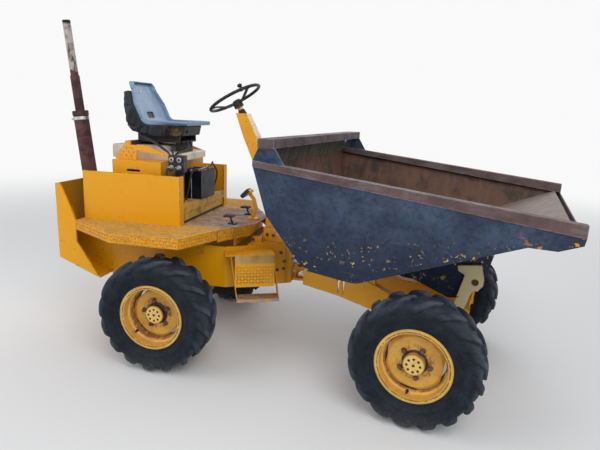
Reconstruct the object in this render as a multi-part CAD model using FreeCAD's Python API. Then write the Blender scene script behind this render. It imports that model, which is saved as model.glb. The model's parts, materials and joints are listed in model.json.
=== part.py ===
import FreeCAD, Part
import math
import os
from FreeCAD import Vector

# Site dumper: two half frames joined at an upright pivot, a front tipping skip, four equal wheels.
# Millimetres. Each half is drawn in a frame with X forward, Y left, Z up, the pivot axis at X = Y = 0
# and the ground at Z = 0. The front half is then turned about the pivot to the angle it parks at.

# Tyres
TYRE_RADIUS = 379.0
TYRE_WIDTH = 264.0
BEAD_RADIUS = 192.0
TYRE_SEAT_GAP = 0.3
TYRE_SIDES = 16
LUG_COUNT = 16
LUG_WIDTH = 44.0
LUG_SLANT = 32.0
LUG_REACH = 70.0
LUG_TOP_RADIUS = 375.0

# Wheels
RIM_FLANGE_RADIUS = 212.0
RIM_FLANGE_HALF = 105.0
RIM_THICKNESS = 5.0
DROP_CENTRE_RADIUS = 172.0
DROP_CENTRE_HALF = 36.0
BEAD_SEAT_HALF = 52.0
DISC_THICKNESS = 8.0
DISC_DISH = 14.0
DISC_FLAT = 152.0
HUB_BORE = 70.0
HUB_RADIUS = 60.0
HUB_FACE = 46.0
HUB_FLANGE_RADIUS = 96.0
HUB_FLANGE = 26.0
HUB_BOLTS = 8
HUB_BOLT_CIRCLE = 37.0
HUB_BOLT_RADIUS = 5.0
STUDS = 5
STUD_CIRCLE = 86.0
STUD_BOSS_RADIUS = 18.0
STUD_BOSS_HEIGHT = 6.0
VALVE_HOLE_RADIUS = 9.0
REAR_DISC_INSET = 92.0
FRONT_DISC_INSET = 62.0
REAR_DISC_TURN = 45.0
FRONT_DISC_TURN = 8.0

# Axles
HALF_TRACK = 666.0
REAR_AXLE_X = -809.0
FRONT_AXLE_X = 963.0
AXLE_Z = TYRE_RADIUS
AXLE_TUBE_RADIUS = 48.0
DIFF_RADIUS = 120.0
BRAKE_DRUM_RADIUS = 140.0
BRAKE_DRUM_WIDTH = 78.0
AXLE_CONE_LENGTH = 90.0
AXLE_CONE_RADIUS = 78.0
SPINDLE_RADIUS = 30.0
SADDLE_HALF = 45.0
SADDLE_FOOT_HALF = 70.0

# Pivot and steering
PARKED_TURN = 10.0
PIVOT_PIN_RADIUS = 25.0
PIVOT_FIT = 0.05
EAR_RADIUS = 60.0
EAR_THICKNESS = 20.0
UPPER_EAR_Z = 568.0
LOWER_EAR_Z = 486.0
BOSS_RADIUS = 48.0
PIVOT_GAP = 2.0

# Rear frame
FRAME_BOTTOM_Z = 484.0
FRAME_TOP_Z = 772.0
FRAME_PLATE = 12.0
FRAME_REAR_X = -1330.0
FRAME_HALF = 360.0
FRAME_BEND_X = -470.0
FRAME_WAIST_X = -100.0
FRAME_WAIST_HALF = 140.0
FRAME_NOSE_X = -62.0
FRAME_NOSE_HALF = 120.0
FRAME_SLOPE_Z = 695.0
CROSS_TOP_Z = 640.0
SADDLE_BLOCK = 40.0
LID_PLATE = 8.0
LID_REAR_X = -340.0
LID_TOP_Z = FRAME_TOP_Z + LID_PLATE
LUG_BLOCK_Y = -180.0

# Deck and body panels
DECK_TOP_Z = 900.0
DECK_PLATE = 5.0
SKIRT_HEIGHT = 66.0
DECK_REAR_X = -1500.0
DECK_REAR_Y = 508.0
DECK_SIDE_REAR_X = -1095.0
DECK_SIDE_FRONT_X = -625.0
DECK_SIDE_Y = 742.0
DECK_CORNER_X = -495.0
DECK_CORNER_Y = 440.0
DECK_LEG = 40.0
FOOT_FRONT_X = -320.0
FOOT_FRONT_Y = 135.0
FOOT_SKIRT = 80.0
FOOT_SKIRT_CUT_X = -347.0
PANEL_Y = 432.0
PANEL_REAR_X = -1480.0
PANEL_FRONT_X = -762.0
PANEL_TOP_Z = 1236.0
PANEL_PLATE = 4.0
PANEL_FLANGE = 62.0
PANEL_REAR_FLANGE = 30.0

# Rear guard
GUARD_X = -1645.0
GUARD_PLATE = 12.0
GUARD_HALF = 505.0
GUARD_TOP_Z = 1145.0
GUARD_KNEE_Z = 622.0
GUARD_TOE_X = -1335.0
GUARD_TOE_Z = 500.0
TOW_PIN_RADIUS = 14.0
TOW_REACH = 70.0
TOW_HALF = 45.0
TOW_PLATE = 14.0

# Power unit
ENGINE_FRONT_X = -950.0
ENGINE_REAR_X = -1290.0
ENGINE_HALF = 215.0
ENGINE_BOTTOM_Z = 560.0
ENGINE_TOP_Z = 1090.0
ENGINE_FOOT = 60.0
COVER_REAR_X = -1300.0
COVER_FRONT_X = -935.0
COVER_SIDE_GAP = 8.0
COVER_HALF = FRAME_HALF - COVER_SIDE_GAP
COVER_TOP_Z = 1314.0
COVER_PLATE = 4.0
COVER_SLOT = (-1190.0, -1091.0, 1240.0, 1254.0)
TANK_REAR_X = -1390.0
TANK_FRONT_X = -1000.0
TANK_TOE_X = -850.0
TANK_HALF = 200.0
TANK_TOP_Z = 1410.0
TANK_TOE_Z = 1365.0

# Exhaust, leaning back
EXHAUST_Y = -250.0
EXHAUST_FOOT = (-1528.0, 1010.0)
EXHAUST_COLLAR = (-1600.0, 1608.0)
EXHAUST_TOP = (-1672.0, 2229.0)
SILENCER_RADIUS = 50.0
ELBOW_RADIUS = 26.0
ELBOW_RISE = 40.0
ELBOW_CLEARANCE = 4.0
STACK_RADIUS = 31.0
STACK_LENGTH = 260.0
TAIL_RADIUS = 26.0
PIPE_WALL = 3.0

# Battery and shelf
SHELF_FRONT_X = -762.0
SHELF_TOP_Z = 1034.0
SHELF_BOARD = 58.0
BULKHEAD_HALF = FRAME_HALF - 10.0
BATTERY_LENGTH = 250.0
BATTERY_DEPTH = 170.0
BATTERY_HEIGHT = 200.0
BATTERY_LID = 22.0
BATTERY_RIGHT_Y = -100.0
TERMINAL_RADIUS = 9.0

# Control valve
VALVE_REAR_X = -905.0
VALVE_FRONT_X = -790.0
VALVE_RIGHT_Y = -300.0
VALVE_DEPTH = 46.0
VALVE_BOTTOM_Z = 1250.0
VALVE_TOP_Z = 1360.0
VALVE_PORT_RADIUS = 13.0

# Seat: the pan's underside in X and Z from its front edge to the top of its back
PAN_LINE = [(-665.0, 1555.0), (-1150.0, 1555.0), (-1284.0, 1850.0)]
PAN_DEPTH = 29.0
PAN_WALL = 8.0
PAN_FOLD = 75.0
PAN_HALF = 200.0
PAN_TOP_HALF = 150.0
PAN_WAIST_Z = 1694.0
PAN_SHOULDER_Z = 1790.0
PAN_TOP_Z = 1847.0
PAN_SLOT = (-90.0, 10.0, 1595.0, 1640.0)
PAD_HALF = 215.0
PAD_TOP_HALF = 180.0
PAD_GAP = 0.3
PAD_UNDER = [(-727.0, 1484.0), (-1022.0, 1470.0), (-1221.0, 1504.0)]
RAIL_Y = 140.0
RAIL_BOTTOM_Z = 1432.0
BRACKET_Y = 284.0
BRACKET_PLATE = 8.0
SPRING_X = -1155.0
SPRING_RADIUS = 46.0

# Steering column
WHEEL_CENTRE_X = -540.0
WHEEL_CENTRE_Z = 1757.0
WHEEL_LEAN = 30.0
WHEEL_RADIUS = 200.0
WHEEL_RIM_RADIUS = 11.0
WHEEL_HUB_RADIUS = 34.0
WHEEL_HUB_LOW = -70.0
WHEEL_HUB_HIGH = -30.0
WHEEL_SPOKE = 26.0
COLUMN_TUBE_RADIUS = 20.0
COLUMN_SPINDLE_RADIUS = 11.0
PEDESTAL_REAR_X = -267.0
PEDESTAL_HALF = 138.0
PEDESTAL_TOP_Z = 875.0

# Steps, each drawn along X with its riser's face in the plane Y = 0 and then set beside the frame
STEP_CENTRE = (-240.0, -405.0)
STEP_YAW = 25.0
STEP_PLATE = 5.0
STEP_HALF = 132.0
STEP_TOP_Z = 745.0
STEP_RISER_TOP_Z = 692.0
STEP_RISER_BOTTOM_Z = 529.0
STEP_TREAD_Z = 445.0
STEP_TREAD_LIP = 22.0
STEP_RAKE = Vector(-40.0, 28.0, 298.0)

# Front frame
BEAM_Y = 200.0
BEAM_PLATE = 12.0
BEAM_REAR_X = 84.0
BEAM_REAR_TOP_Z = 615.0
BEAM_REAR_BOTTOM_Z = 515.0
BEAM_FLANGE = 60.0
BEAM_FLANGE_PLATE = 8.0
BEAM_FRONT_X = 1190.0
BEAM_BOTTOM_Z = 445.0
NOTCHES = [
    # rear x, front x, x of the point, z of the point
    (328.0, 352.0, 340.0, 494.0),
    (365.0, 385.0, 378.0, 488.0),
]
POST_Y = 300.0
POST_HALF = 10.0
CROSS_BOX = (1095.0, 1175.0, 455.0, 520.0)
SKIP_PIVOT_X = 1205.0
SKIP_PIVOT_Z = 754.0
SKIP_PIN_RADIUS = 20.0

# Skip
SKIP_PLATE = 6.0
SKIP_LOW_X = 543.0
SKIP_LOW_Z = 750.0
SKIP_RAMP_X = 591.0
RIM_REAR = (-7.0, 1412.0)
RIM_FRONT = (1666.0, 1247.0)
RIM_REAR_DEPTH = 35.0
RIM_FRONT_DEPTH = 60.0
RIM_WIDTH = 50.0
SKIP_HALF = 806.0
SKIP_RIM_STEP = 6.0
SKIP_FLOOR_HALF = 662.0
SKIP_BEYOND = 900.0
LIP_X = 1630.0
NOSE_X = 1436.0
HEADBOARD_REAR_X = 30.0
HEADBOARD_DEPTH = 99.0
HEADBOARD_TOP_Z = 1535.0
HEADBOARD_RAIL = 50.0
HEADBOARD_OVERHANG = 12.0
HINGE_PLATE_Y = 276.0
HINGE_PLATE = 12.0
HINGE_BOSS_RADIUS = 50.0
CROSS_WEB = 80.0

# Tipping ram and steering ram
TIP_BASE = (263.0, 545.0)
TIP_EYE = (956.0, 776.0)
STEER_BASE = (-430.0, 230.0)
STEER_EYE = (75.0, 165.0)
STEER_RAM_Z = 450.0
STEER_PIN_RADIUS = 14.0
TIP_PIN_RADIUS = 16.0
RAM_BASE_WALL = 25.0
RAM_EYE_NECK = 10.0
RAM_EYE_HALF = 24.0
RAM_EAR = 12.0
RAM_SIDE_GAP = 5.0
RAM_EAR_INNER = RAM_EYE_HALF + RAM_SIDE_GAP
TIP_BARREL_RADIUS = 42.0
TIP_ROD_RADIUS = 22.0
TIP_BARREL_LENGTH = 540.0
TIP_RAM_EYE_RADIUS = 32.0
STEER_BARREL_RADIUS = 26.0
STEER_ROD_RADIUS = 14.0
STEER_BARREL_LENGTH = 345.0
STEER_STROKE_IN = 150.0
STEER_RAM_EYE_RADIUS = 24.0
STEER_TAB_HALF = 26.0


# Shared shapes
def box(x0, x1, y0, y1, z0, z1):
    return Part.makeBox(x1 - x0, y1 - y0, z1 - z0, Vector(x0, y0, z0))


def face_of(points):
    return Part.Face(Part.makePolygon(points + [points[0]]))


def rounded_face(corners):
    # A flat outline from corner points and the radius of each, 0 for a sharp one.
    edges = []
    starts = []
    ends = []
    for i, (corner, radius) in enumerate(corners):
        back = (corners[i - 1][0] - corner).normalize()
        ahead = (corners[(i + 1) % len(corners)][0] - corner).normalize()
        half = back.getAngle(ahead) / 2
        reach = radius / math.tan(half)
        starts.append(corner + back * reach)
        ends.append(corner + ahead * reach)
        if radius > 0:
            centre = corner + (back + ahead).normalize() * (radius / math.sin(half))
            middle = centre + (corner - centre).normalize() * radius
            edges.append(Part.Arc(starts[i], middle, ends[i]).toShape())
        if i > 0:
            edges.append(Part.LineSegment(ends[i - 1], starts[i]).toShape())
    edges.append(Part.LineSegment(ends[-1], starts[0]).toShape())
    return Part.Face(Part.Wire(Part.__sortEdges__(edges)))


def side_plate(points, y0, y1):
    # An outline in X and Z, extruded from y0 to y1.
    return face_of([Vector(x, y0, z) for x, z in points]).extrude(Vector(0, y1 - y0, 0))


def side_form(corners, y0, y1):
    # The same from rows of x, z and corner radius.
    return rounded_face([(Vector(x, y0, z), r) for x, z, r in corners]).extrude(Vector(0, y1 - y0, 0))


def cross_form(corners, x0, x1):
    # Rows of y, z and corner radius, extruded from x0 to x1.
    return rounded_face([(Vector(x0, y, z), r) for y, z, r in corners]).extrude(Vector(x1 - x0, 0, 0))


def plan_plate(points, z0, z1):
    # An outline in X and Y, extruded from z0 to z1.
    return face_of([Vector(x, y, z0) for x, y in points]).extrude(Vector(0, 0, z1 - z0))


def rod(start, end, radius):
    axis = end - start
    return Part.makeCylinder(radius, axis.Length, start, axis)


def pipe(start, end, radius, wall):
    return rod(start, end, radius).cut(rod(start, end, radius - wall))


def bar_y(x, z, y0, y1, radius):
    return Part.makeCylinder(radius, y1 - y0, Vector(x, y0, z), Vector(0, 1, 0))


def bar_z(x, y, z0, z1, radius):
    return Part.makeCylinder(radius, z1 - z0, Vector(x, y, z0), Vector(0, 0, 1))


def mirrored(shape):
    return shape.mirror(Vector(0, 0, 0), Vector(0, 1, 0))


def both_sides(shape):
    return [shape, mirrored(shape)]


def fused(shapes):
    whole = shapes[0]
    if len(shapes) > 1:
        whole = shapes[0].multiFuse(shapes[1:])
    return whole.removeSplitter()


def offset_line(points, distance):
    # The same open line of points, moved to its left by the distance, with mitred corners.
    moved = []
    for i, (x, z) in enumerate(points):
        normals = []
        for a, b in ((i - 1, i), (i, i + 1)):
            if a >= 0 and b < len(points):
                dx = points[b][0] - points[a][0]
                dz = points[b][1] - points[a][1]
                length = math.hypot(dx, dz)
                normals.append((-dz / length, dx / length))
        nx = sum(n[0] for n in normals)
        nz = sum(n[1] for n in normals)
        scale = len(normals) / (nx * nx + nz * nz)
        moved.append((x + distance * nx * scale, z + distance * nz * scale))
    return moved


def bent_sheet(points, thickness):
    # A folded plate's edge outline, its thickness to the left of the line of points.
    return points + offset_line(points, thickness)[::-1]


def revolved(profile):
    # A profile of radius and Y about the Y axis.
    return face_of([Vector(r, y, 0) for r, y in profile]).revolve(Vector(0, 0, 0), Vector(0, 1, 0), 360)


def solid_of(faces):
    solid = Part.makeSolid(Part.makeShell(faces))
    if solid.Volume < 0:
        solid.reverse()
    return solid


def turned_y(shape, degrees):
    turned = shape.copy()
    turned.rotate(Vector(0, 0, 0), Vector(0, 1, 0), degrees)
    return turned


# Wheels, tyres and axles
def faceted_ring(profile, sides):
    # A ring about the Y axis with flat sides, from a closed profile of radius and Y.
    turns = [2 * math.pi * i / sides for i in range(sides)]
    loops = []
    for r, y in profile:
        loops.append([Vector(r * math.cos(t), y, r * math.sin(t)) for t in turns])
    faces = []
    for k in range(len(profile)):
        near = loops[k - 1]
        far = loops[k]
        if abs(near[0].y - far[0].y) < 0.001:
            outer, inner = sorted((near, far), key=lambda loop: -loop[0].Length)
            faces += face_of(outer).cut(face_of(inner)).Faces
            continue
        for i in range(sides):
            faces.append(face_of([near[i - 1], near[i], far[i], far[i - 1]]))
    return solid_of(faces)


def tyre_lug():
    # One bar of the tread, from past the middle of the crown out over the shoulder.
    outline = [
        # along the bar, radius
        (4, 338),
        (4, LUG_TOP_RADIUS),
        (116, LUG_TOP_RADIUS),
        (152, 320),
        (120, 320),
    ]
    points = [Vector(r, s - LUG_REACH, -LUG_WIDTH / 2) for s, r in outline]
    bar = face_of(points).extrude(Vector(0, 0, LUG_WIDTH))
    bar.rotate(Vector(0, 0, 0), Vector(1, 0, 0), LUG_SLANT)
    bar.translate(Vector(0, LUG_REACH * math.cos(math.radians(LUG_SLANT)), 0))
    return bar.common(box(0, TYRE_RADIUS + 1, -TYRE_WIDTH / 2, TYRE_WIDTH / 2, -TYRE_RADIUS, TYRE_RADIUS))


def tyre():
    # Carcass from the crown down the sidewalls to the beads, hollow, with two rows of slanted bars.
    corner = 1 / math.cos(math.pi / TYRE_SIDES)
    right = [
        # radius, y
        (352, 96),
        (312, 128),
        (250, 124),
        ((RIM_FLANGE_RADIUS + TYRE_SEAT_GAP) * corner, RIM_FLANGE_HALF - RIM_THICKNESS - TYRE_SEAT_GAP),
        (BEAD_RADIUS * corner, 70),
        (306, 104),
    ]
    carcass = faceted_ring(right + [(r, -y) for r, y in reversed(right)], TYRE_SIDES)
    lug = tyre_lug()
    lugs = []
    for i in range(LUG_COUNT):
        lugs.append(turned_y(lug, 360.0 * i / LUG_COUNT))
        lugs.append(turned_y(mirrored(lug), 360.0 * (i + 0.5) / LUG_COUNT))
    return fused([carcass] + lugs)


def wheel(inset, disc_turn):
    # Flanges, bead seats and dropped centre of the rim, a disc with four flats that leave slots
    # to the rim, and the hub. The outer side is at plus Y.
    t = RIM_THICKNESS
    edge = RIM_FLANGE_HALF
    seat = BEAD_RADIUS - TYRE_SEAT_GAP
    outer = [
        # radius, y
        (RIM_FLANGE_RADIUS, edge),
        (RIM_FLANGE_RADIUS, edge - t),
        (seat, edge - t),
        (seat, BEAD_SEAT_HALF),
        (DROP_CENTRE_RADIUS, DROP_CENTRE_HALF),
        (DROP_CENTRE_RADIUS, -DROP_CENTRE_HALF),
        (seat, -BEAD_SEAT_HALF),
        (seat, -edge + t),
        (RIM_FLANGE_RADIUS, -edge + t),
        (RIM_FLANGE_RADIUS, -edge),
    ]
    inner = [
        (BEAD_RADIUS - t, -edge),
        (BEAD_RADIUS - t, -BEAD_SEAT_HALF - t / 2),
        (DROP_CENTRE_RADIUS - t, -DROP_CENTRE_HALF - t / 2),
        (DROP_CENTRE_RADIUS - t, DROP_CENTRE_HALF + t / 2),
        (BEAD_RADIUS - t, BEAD_SEAT_HALF + t / 2),
        (BEAD_RADIUS - t, edge),
    ]
    face = edge - inset
    rim = revolved(outer + inner)
    valve = bar_y(0, 0, 0, edge, VALVE_HOLE_RADIUS)
    rim = rim.cut(turned_y(valve.translated(Vector(DROP_CENTRE_RADIUS + 8, 0, 0)), disc_turn + 90))
    disc = revolved([
        (HUB_BORE, face - DISC_THICKNESS),
        (HUB_BORE, face),
        (DROP_CENTRE_RADIUS - 25, face),
        (DROP_CENTRE_RADIUS - 1, face - DISC_DISH),
        (DROP_CENTRE_RADIUS - 1, face - DISC_DISH - DISC_THICKNESS),
        (DROP_CENTRE_RADIUS - 29, face - DISC_THICKNESS),
    ])
    square = box(-DISC_FLAT, DISC_FLAT, -edge, edge, -DISC_FLAT, DISC_FLAT)
    disc = disc.common(turned_y(square, disc_turn))
    hub = revolved([
        (SPINDLE_RADIUS + PIVOT_FIT, face - HUB_FLANGE),
        (SPINDLE_RADIUS + PIVOT_FIT, face + 20),
        (0, face + 20),
        (0, face + HUB_FACE - 4),
        (9, face + HUB_FACE - 4),
        (9, face + HUB_FACE),
        (HUB_RADIUS - 8, face + HUB_FACE),
        (HUB_RADIUS, face + HUB_FACE - 6),
        (HUB_RADIUS, face),
        (HUB_FLANGE_RADIUS, face),
        (HUB_FLANGE_RADIUS, face - HUB_FLANGE),
    ])
    hole = bar_y(HUB_BOLT_CIRCLE, 0, face + HUB_FACE - 6, face + HUB_FACE + 1, HUB_BOLT_RADIUS)
    hub = hub.cut([turned_y(hole, 360.0 * i / HUB_BOLTS) for i in range(HUB_BOLTS)])
    boss = Part.makeCone(
        STUD_BOSS_RADIUS, STUD_BOSS_RADIUS - STUD_BOSS_HEIGHT, STUD_BOSS_HEIGHT,
        Vector(STUD_CIRCLE, face, 0), Vector(0, 1, 0),
    )
    bosses = [turned_y(boss, 360.0 * i / STUDS + disc_turn) for i in range(STUDS)]
    return fused([rim, disc, hub] + bosses)


def placed(piece, x, side):
    # A wheel or tyre turned to its side of the machine and set on its axle.
    if side < 0:
        piece = mirrored(piece)
    return piece.translated(Vector(x, side * HALF_TRACK, AXLE_Z))


def axle(x, inset, saddle_top, saddle_y0, saddle_y1):
    # Housing with its drop-centre drive casing, and a drum and spindle at each end.
    hub_face = HALF_TRACK + RIM_FLANGE_HALF - inset - HUB_FLANGE
    drum_out = hub_face - 5.0
    drum_in = drum_out - BRAKE_DRUM_WIDTH
    spindle_end = hub_face + 44.0
    pieces = [bar_y(x, AXLE_Z, -spindle_end, spindle_end, SPINDLE_RADIUS)]
    pieces.append(bar_y(x, AXLE_Z, -drum_out, drum_out, AXLE_TUBE_RADIUS))
    pieces.append(Part.makeSphere(DIFF_RADIUS, Vector(x, 0, AXLE_Z)))
    drum = bar_y(x, AXLE_Z, drum_in, drum_out, BRAKE_DRUM_RADIUS)
    cone_start = Vector(x, drum_in - AXLE_CONE_LENGTH, AXLE_Z)
    cone = Part.makeCone(AXLE_TUBE_RADIUS, AXLE_CONE_RADIUS, AXLE_CONE_LENGTH, cone_start, Vector(0, 1, 0))
    outline = [
        (x - SADDLE_FOOT_HALF, AXLE_Z + 20),
        (x - SADDLE_FOOT_HALF, AXLE_Z - 20),
        (x + SADDLE_FOOT_HALF, AXLE_Z - 20),
        (x + SADDLE_FOOT_HALF, AXLE_Z + 20),
        (x + SADDLE_HALF, saddle_top),
        (x - SADDLE_HALF, saddle_top),
    ]
    saddle = side_plate(outline, saddle_y0, saddle_y1)
    return fused(pieces + both_sides(drum) + both_sides(cone) + both_sides(saddle))


# Rear half
def frame_half(x):
    # Half width of the rear frame at x.
    share = max(0.0, (x - FRAME_BEND_X) / (FRAME_WAIST_X - FRAME_BEND_X))
    return FRAME_HALF + share * (FRAME_WAIST_HALF - FRAME_HALF)


def frame_plan(inset):
    right = [
        (FRAME_REAR_X, FRAME_HALF - inset),
        (FRAME_BEND_X, FRAME_HALF - inset),
        (FRAME_WAIST_X, FRAME_WAIST_HALF - inset),
        (FRAME_NOSE_X - inset, FRAME_NOSE_HALF - inset),
    ]
    return right + [(x, -y) for x, y in reversed(right)]


def rear_frame():
    # Folded side plates that close in to the pivot, a nose plate, and the two ears for the pin.
    shell = plan_plate(frame_plan(0), FRAME_BOTTOM_Z, FRAME_TOP_Z)
    shell = shell.cut(plan_plate(frame_plan(FRAME_PLATE), FRAME_BOTTOM_Z - 1, FRAME_TOP_Z + 1))
    slope = [
        (FRAME_WAIST_X - 12, FRAME_TOP_Z + 1),
        (FRAME_NOSE_X + 1, FRAME_SLOPE_Z),
        (FRAME_NOSE_X + 1, FRAME_TOP_Z + 1),
    ]
    shell = shell.cut(side_plate(slope, -FRAME_HALF, FRAME_HALF))
    rear_x = FRAME_REAR_X + FRAME_PLATE
    cross = box(FRAME_REAR_X, rear_x, -FRAME_HALF + 1, FRAME_HALF - 1, FRAME_BOTTOM_Z, CROSS_TOP_Z)
    saddle = box(
        REAR_AXLE_X - SADDLE_FOOT_HALF, REAR_AXLE_X + SADDLE_FOOT_HALF,
        FRAME_HALF - 120, FRAME_HALF - 2, FRAME_BOTTOM_Z, FRAME_BOTTOM_Z + SADDLE_BLOCK,
    )
    lid = plan_plate(frame_plan(0), FRAME_TOP_Z - 0.5, LID_TOP_Z)
    lid = lid.common(box(LID_REAR_X, FRAME_WAIST_X - 12, -FRAME_HALF, FRAME_HALF, 0, LID_TOP_Z + 1))
    block = box(LID_REAR_X, PEDESTAL_REAR_X - 1, LUG_BLOCK_Y, LUG_BLOCK_Y + 38, LID_TOP_Z - 1, LID_TOP_Z + 34)
    pieces = [shell, cross, lid, block] + both_sides(saddle)
    for z in (LOWER_EAR_Z, UPPER_EAR_Z):
        ear = bar_z(0, 0, z, z + EAR_THICKNESS, EAR_RADIUS)
        pieces.append(ear.fuse(box(FRAME_NOSE_X - 40, 0, -EAR_RADIUS, EAR_RADIUS, z, z + EAR_THICKNESS)))
    x, y = STEER_BASE
    half = STEER_TAB_HALF
    low = STEER_RAM_Z - RAM_EAR_INNER - RAM_EAR
    high = STEER_RAM_Z + RAM_EAR_INNER
    for z in (low, high):
        pieces.append(box(x - 60, x + half, y - half, y + half, z, z + RAM_EAR))
    pieces.append(box(x - 60, x - 38, y - half, frame_half(x - 60) - 1, low, FRAME_BOTTOM_Z + 30))
    pieces.append(bar_z(x, y, low, high + RAM_EAR, STEER_PIN_RADIUS))
    frame = fused(pieces)
    return frame.cut(bar_z(0, 0, LOWER_EAR_Z - 1, UPPER_EAR_Z + EAR_THICKNESS + 1, PIVOT_PIN_RADIUS))


def pivot_pin():
    top = UPPER_EAR_Z + EAR_THICKNESS
    pin = bar_z(0, 0, LOWER_EAR_Z - 12, top, PIVOT_PIN_RADIUS)
    return fused([pin, bar_z(0, 0, top, top + 14, PIVOT_PIN_RADIUS + 14)])


def deck_half():
    # Chequer plate over the right wheel, with its skirt turned down on the outer edges.
    edge = [
        (DECK_REAR_X, -DECK_REAR_Y),
        (DECK_SIDE_REAR_X, -DECK_SIDE_Y),
        (DECK_SIDE_FRONT_X, -DECK_SIDE_Y),
        (DECK_CORNER_X, -DECK_CORNER_Y),
    ]
    inner = [(DECK_CORNER_X, -FRAME_HALF), (DECK_REAR_X, -FRAME_HALF)]
    top = plan_plate(edge + inner, DECK_TOP_Z - DECK_PLATE, DECK_TOP_Z)
    skirt = plan_plate(bent_sheet(edge, DECK_PLATE), DECK_TOP_Z - SKIRT_HEIGHT, DECK_TOP_Z)
    legs = []
    for x in (DECK_SIDE_REAR_X, DECK_SIDE_FRONT_X - DECK_LEG):
        legs.append(box(
            x, x + DECK_LEG, -FRAME_HALF - 6, -FRAME_HALF, FRAME_TOP_Z - 60, DECK_TOP_Z - DECK_PLATE,
        ))
    return fused([top, skirt] + legs)


def footplate():
    # The foot well's plate between the two decks, narrowing to the steering column, with a skirt
    # whose front corner is cut back.
    inner = FRAME_HALF - 0.3
    rear_x = DECK_CORNER_X + 0.3
    half = [
        (PANEL_FRONT_X + 2, inner),
        (rear_x, inner),
        (rear_x, DECK_CORNER_Y),
        (FOOT_FRONT_X, FOOT_FRONT_Y),
    ]
    outline = half + [(x, -y) for x, y in reversed(half)]
    top = plan_plate(outline, DECK_TOP_Z - DECK_PLATE, DECK_TOP_Z)
    low = DECK_TOP_Z - FOOT_SKIRT
    corner = side_plate([
        (FOOT_SKIRT_CUT_X, low - 1),
        (FOOT_SKIRT_CUT_X, low),
        (FOOT_FRONT_X, DECK_TOP_Z - DECK_PLATE),
        (FOOT_FRONT_X + 20, DECK_TOP_Z - DECK_PLATE),
        (FOOT_FRONT_X + 20, low - 1),
    ], 0, DECK_CORNER_Y)
    strip = bent_sheet(half[2:], -DECK_PLATE)
    skirt = plan_plate(strip, low, DECK_TOP_Z)
    skirt = skirt.common(box(rear_x, 0, 0, DECK_SIDE_Y, 0, DECK_TOP_Z)).cut(corner)
    legs = []
    for x in (-600, -420):
        y = frame_half(x) - 4
        legs.append(box(x, x + 6, -y, y, FRAME_TOP_Z, DECK_TOP_Z - DECK_PLATE))
    return fused([top] + both_sides(skirt) + legs)


def side_panel():
    # Right bonnet side, its front and rear edges turned in.
    outer = -PANEL_Y
    panel = box(PANEL_REAR_X, PANEL_FRONT_X, outer, outer + PANEL_PLATE, DECK_TOP_Z, PANEL_TOP_Z)
    front_x = PANEL_FRONT_X - PANEL_PLATE
    front = box(front_x, PANEL_FRONT_X, outer, outer + PANEL_FLANGE, DECK_TOP_Z, PANEL_TOP_Z)
    rear_x = PANEL_REAR_X + PANEL_PLATE
    rear = box(PANEL_REAR_X, rear_x, outer, outer + PANEL_REAR_FLANGE, DECK_TOP_Z, PANEL_TOP_Z)
    return fused([panel, front, rear])


def rear_guard():
    # Folded back plate with a gusset at each side.
    line = [(GUARD_X, GUARD_TOP_Z), (GUARD_X, GUARD_KNEE_Z), (GUARD_TOE_X, GUARD_TOE_Z)]
    plate = side_plate(bent_sheet(line, GUARD_PLATE), -GUARD_HALF, GUARD_HALF)
    cheek = line + [
        (DECK_REAR_X - 3, 745),
        (DECK_REAR_X - 3, DECK_TOP_Z),
        (GUARD_X + 40, GUARD_TOP_Z),
    ]
    cheeks = both_sides(side_plate(cheek, -GUARD_HALF, -GUARD_HALF + GUARD_PLATE))
    web = [
        (GUARD_X + 2, DECK_TOP_Z + 100),
        (GUARD_X + 2, GUARD_KNEE_Z),
        (GUARD_TOE_X, GUARD_TOE_Z),
        (FRAME_REAR_X, GUARD_TOE_Z),
        (FRAME_REAR_X, FRAME_TOP_Z),
        (GUARD_X + 60, FRAME_TOP_Z + 30),
    ]
    webs = both_sides(side_plate(web, -FRAME_HALF, -FRAME_HALF + FRAME_PLATE))
    return fused([plate] + webs + cheeks)


def tow_bracket():
    # Jaw under the guard for a towing pin.
    x = GUARD_X - TOW_REACH
    plates = []
    for z in (560, 620):
        tongue = box(x, GUARD_X, -TOW_HALF, TOW_HALF, z, z + TOW_PLATE)
        tongue = tongue.fuse(bar_z(x, 0, z, z + TOW_PLATE, TOW_HALF))
        plates.append(tongue.cut(bar_z(x, 0, z - 1, z + TOW_PLATE + 1, TOW_PIN_RADIUS)))
    back = box(GUARD_X - 10, GUARD_X, -TOW_HALF - 15, TOW_HALF + 15, 545, 650)
    return fused(plates + [back])


def engine_block():
    block = box(ENGINE_REAR_X, ENGINE_FRONT_X, -ENGINE_HALF, ENGINE_HALF, ENGINE_BOTTOM_Z, ENGINE_TOP_Z)
    inner = FRAME_HALF - FRAME_PLATE
    feet = []
    for x in (ENGINE_REAR_X + 30, ENGINE_FRONT_X - 90):
        feet.append(box(x, x + ENGINE_FOOT, -inner, inner, ENGINE_BOTTOM_Z, ENGINE_BOTTOM_Z + 50))
    return fused([block] + feet)


def engine_cover():
    # Sheet box over the engine, open underneath, with a hand slot in each side for lifting it.
    outer = box(COVER_REAR_X, COVER_FRONT_X, -COVER_HALF, COVER_HALF, FRAME_TOP_Z, COVER_TOP_Z)
    t = COVER_PLATE
    half = COVER_HALF - t
    inner = box(COVER_REAR_X + t, COVER_FRONT_X - t, -half, half, FRAME_TOP_Z - 1, COVER_TOP_Z - t)
    x0, x1, z0, z1 = COVER_SLOT
    r = (z1 - z0) / 2.1
    slot = side_form([(x0, z0, r), (x1, z0, r), (x1, z1, r), (x0, z1, r)], -COVER_HALF - 1, COVER_HALF + 1)
    return outer.cut(inner).cut(slot).cut(elbow(ELBOW_CLEARANCE))


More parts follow.
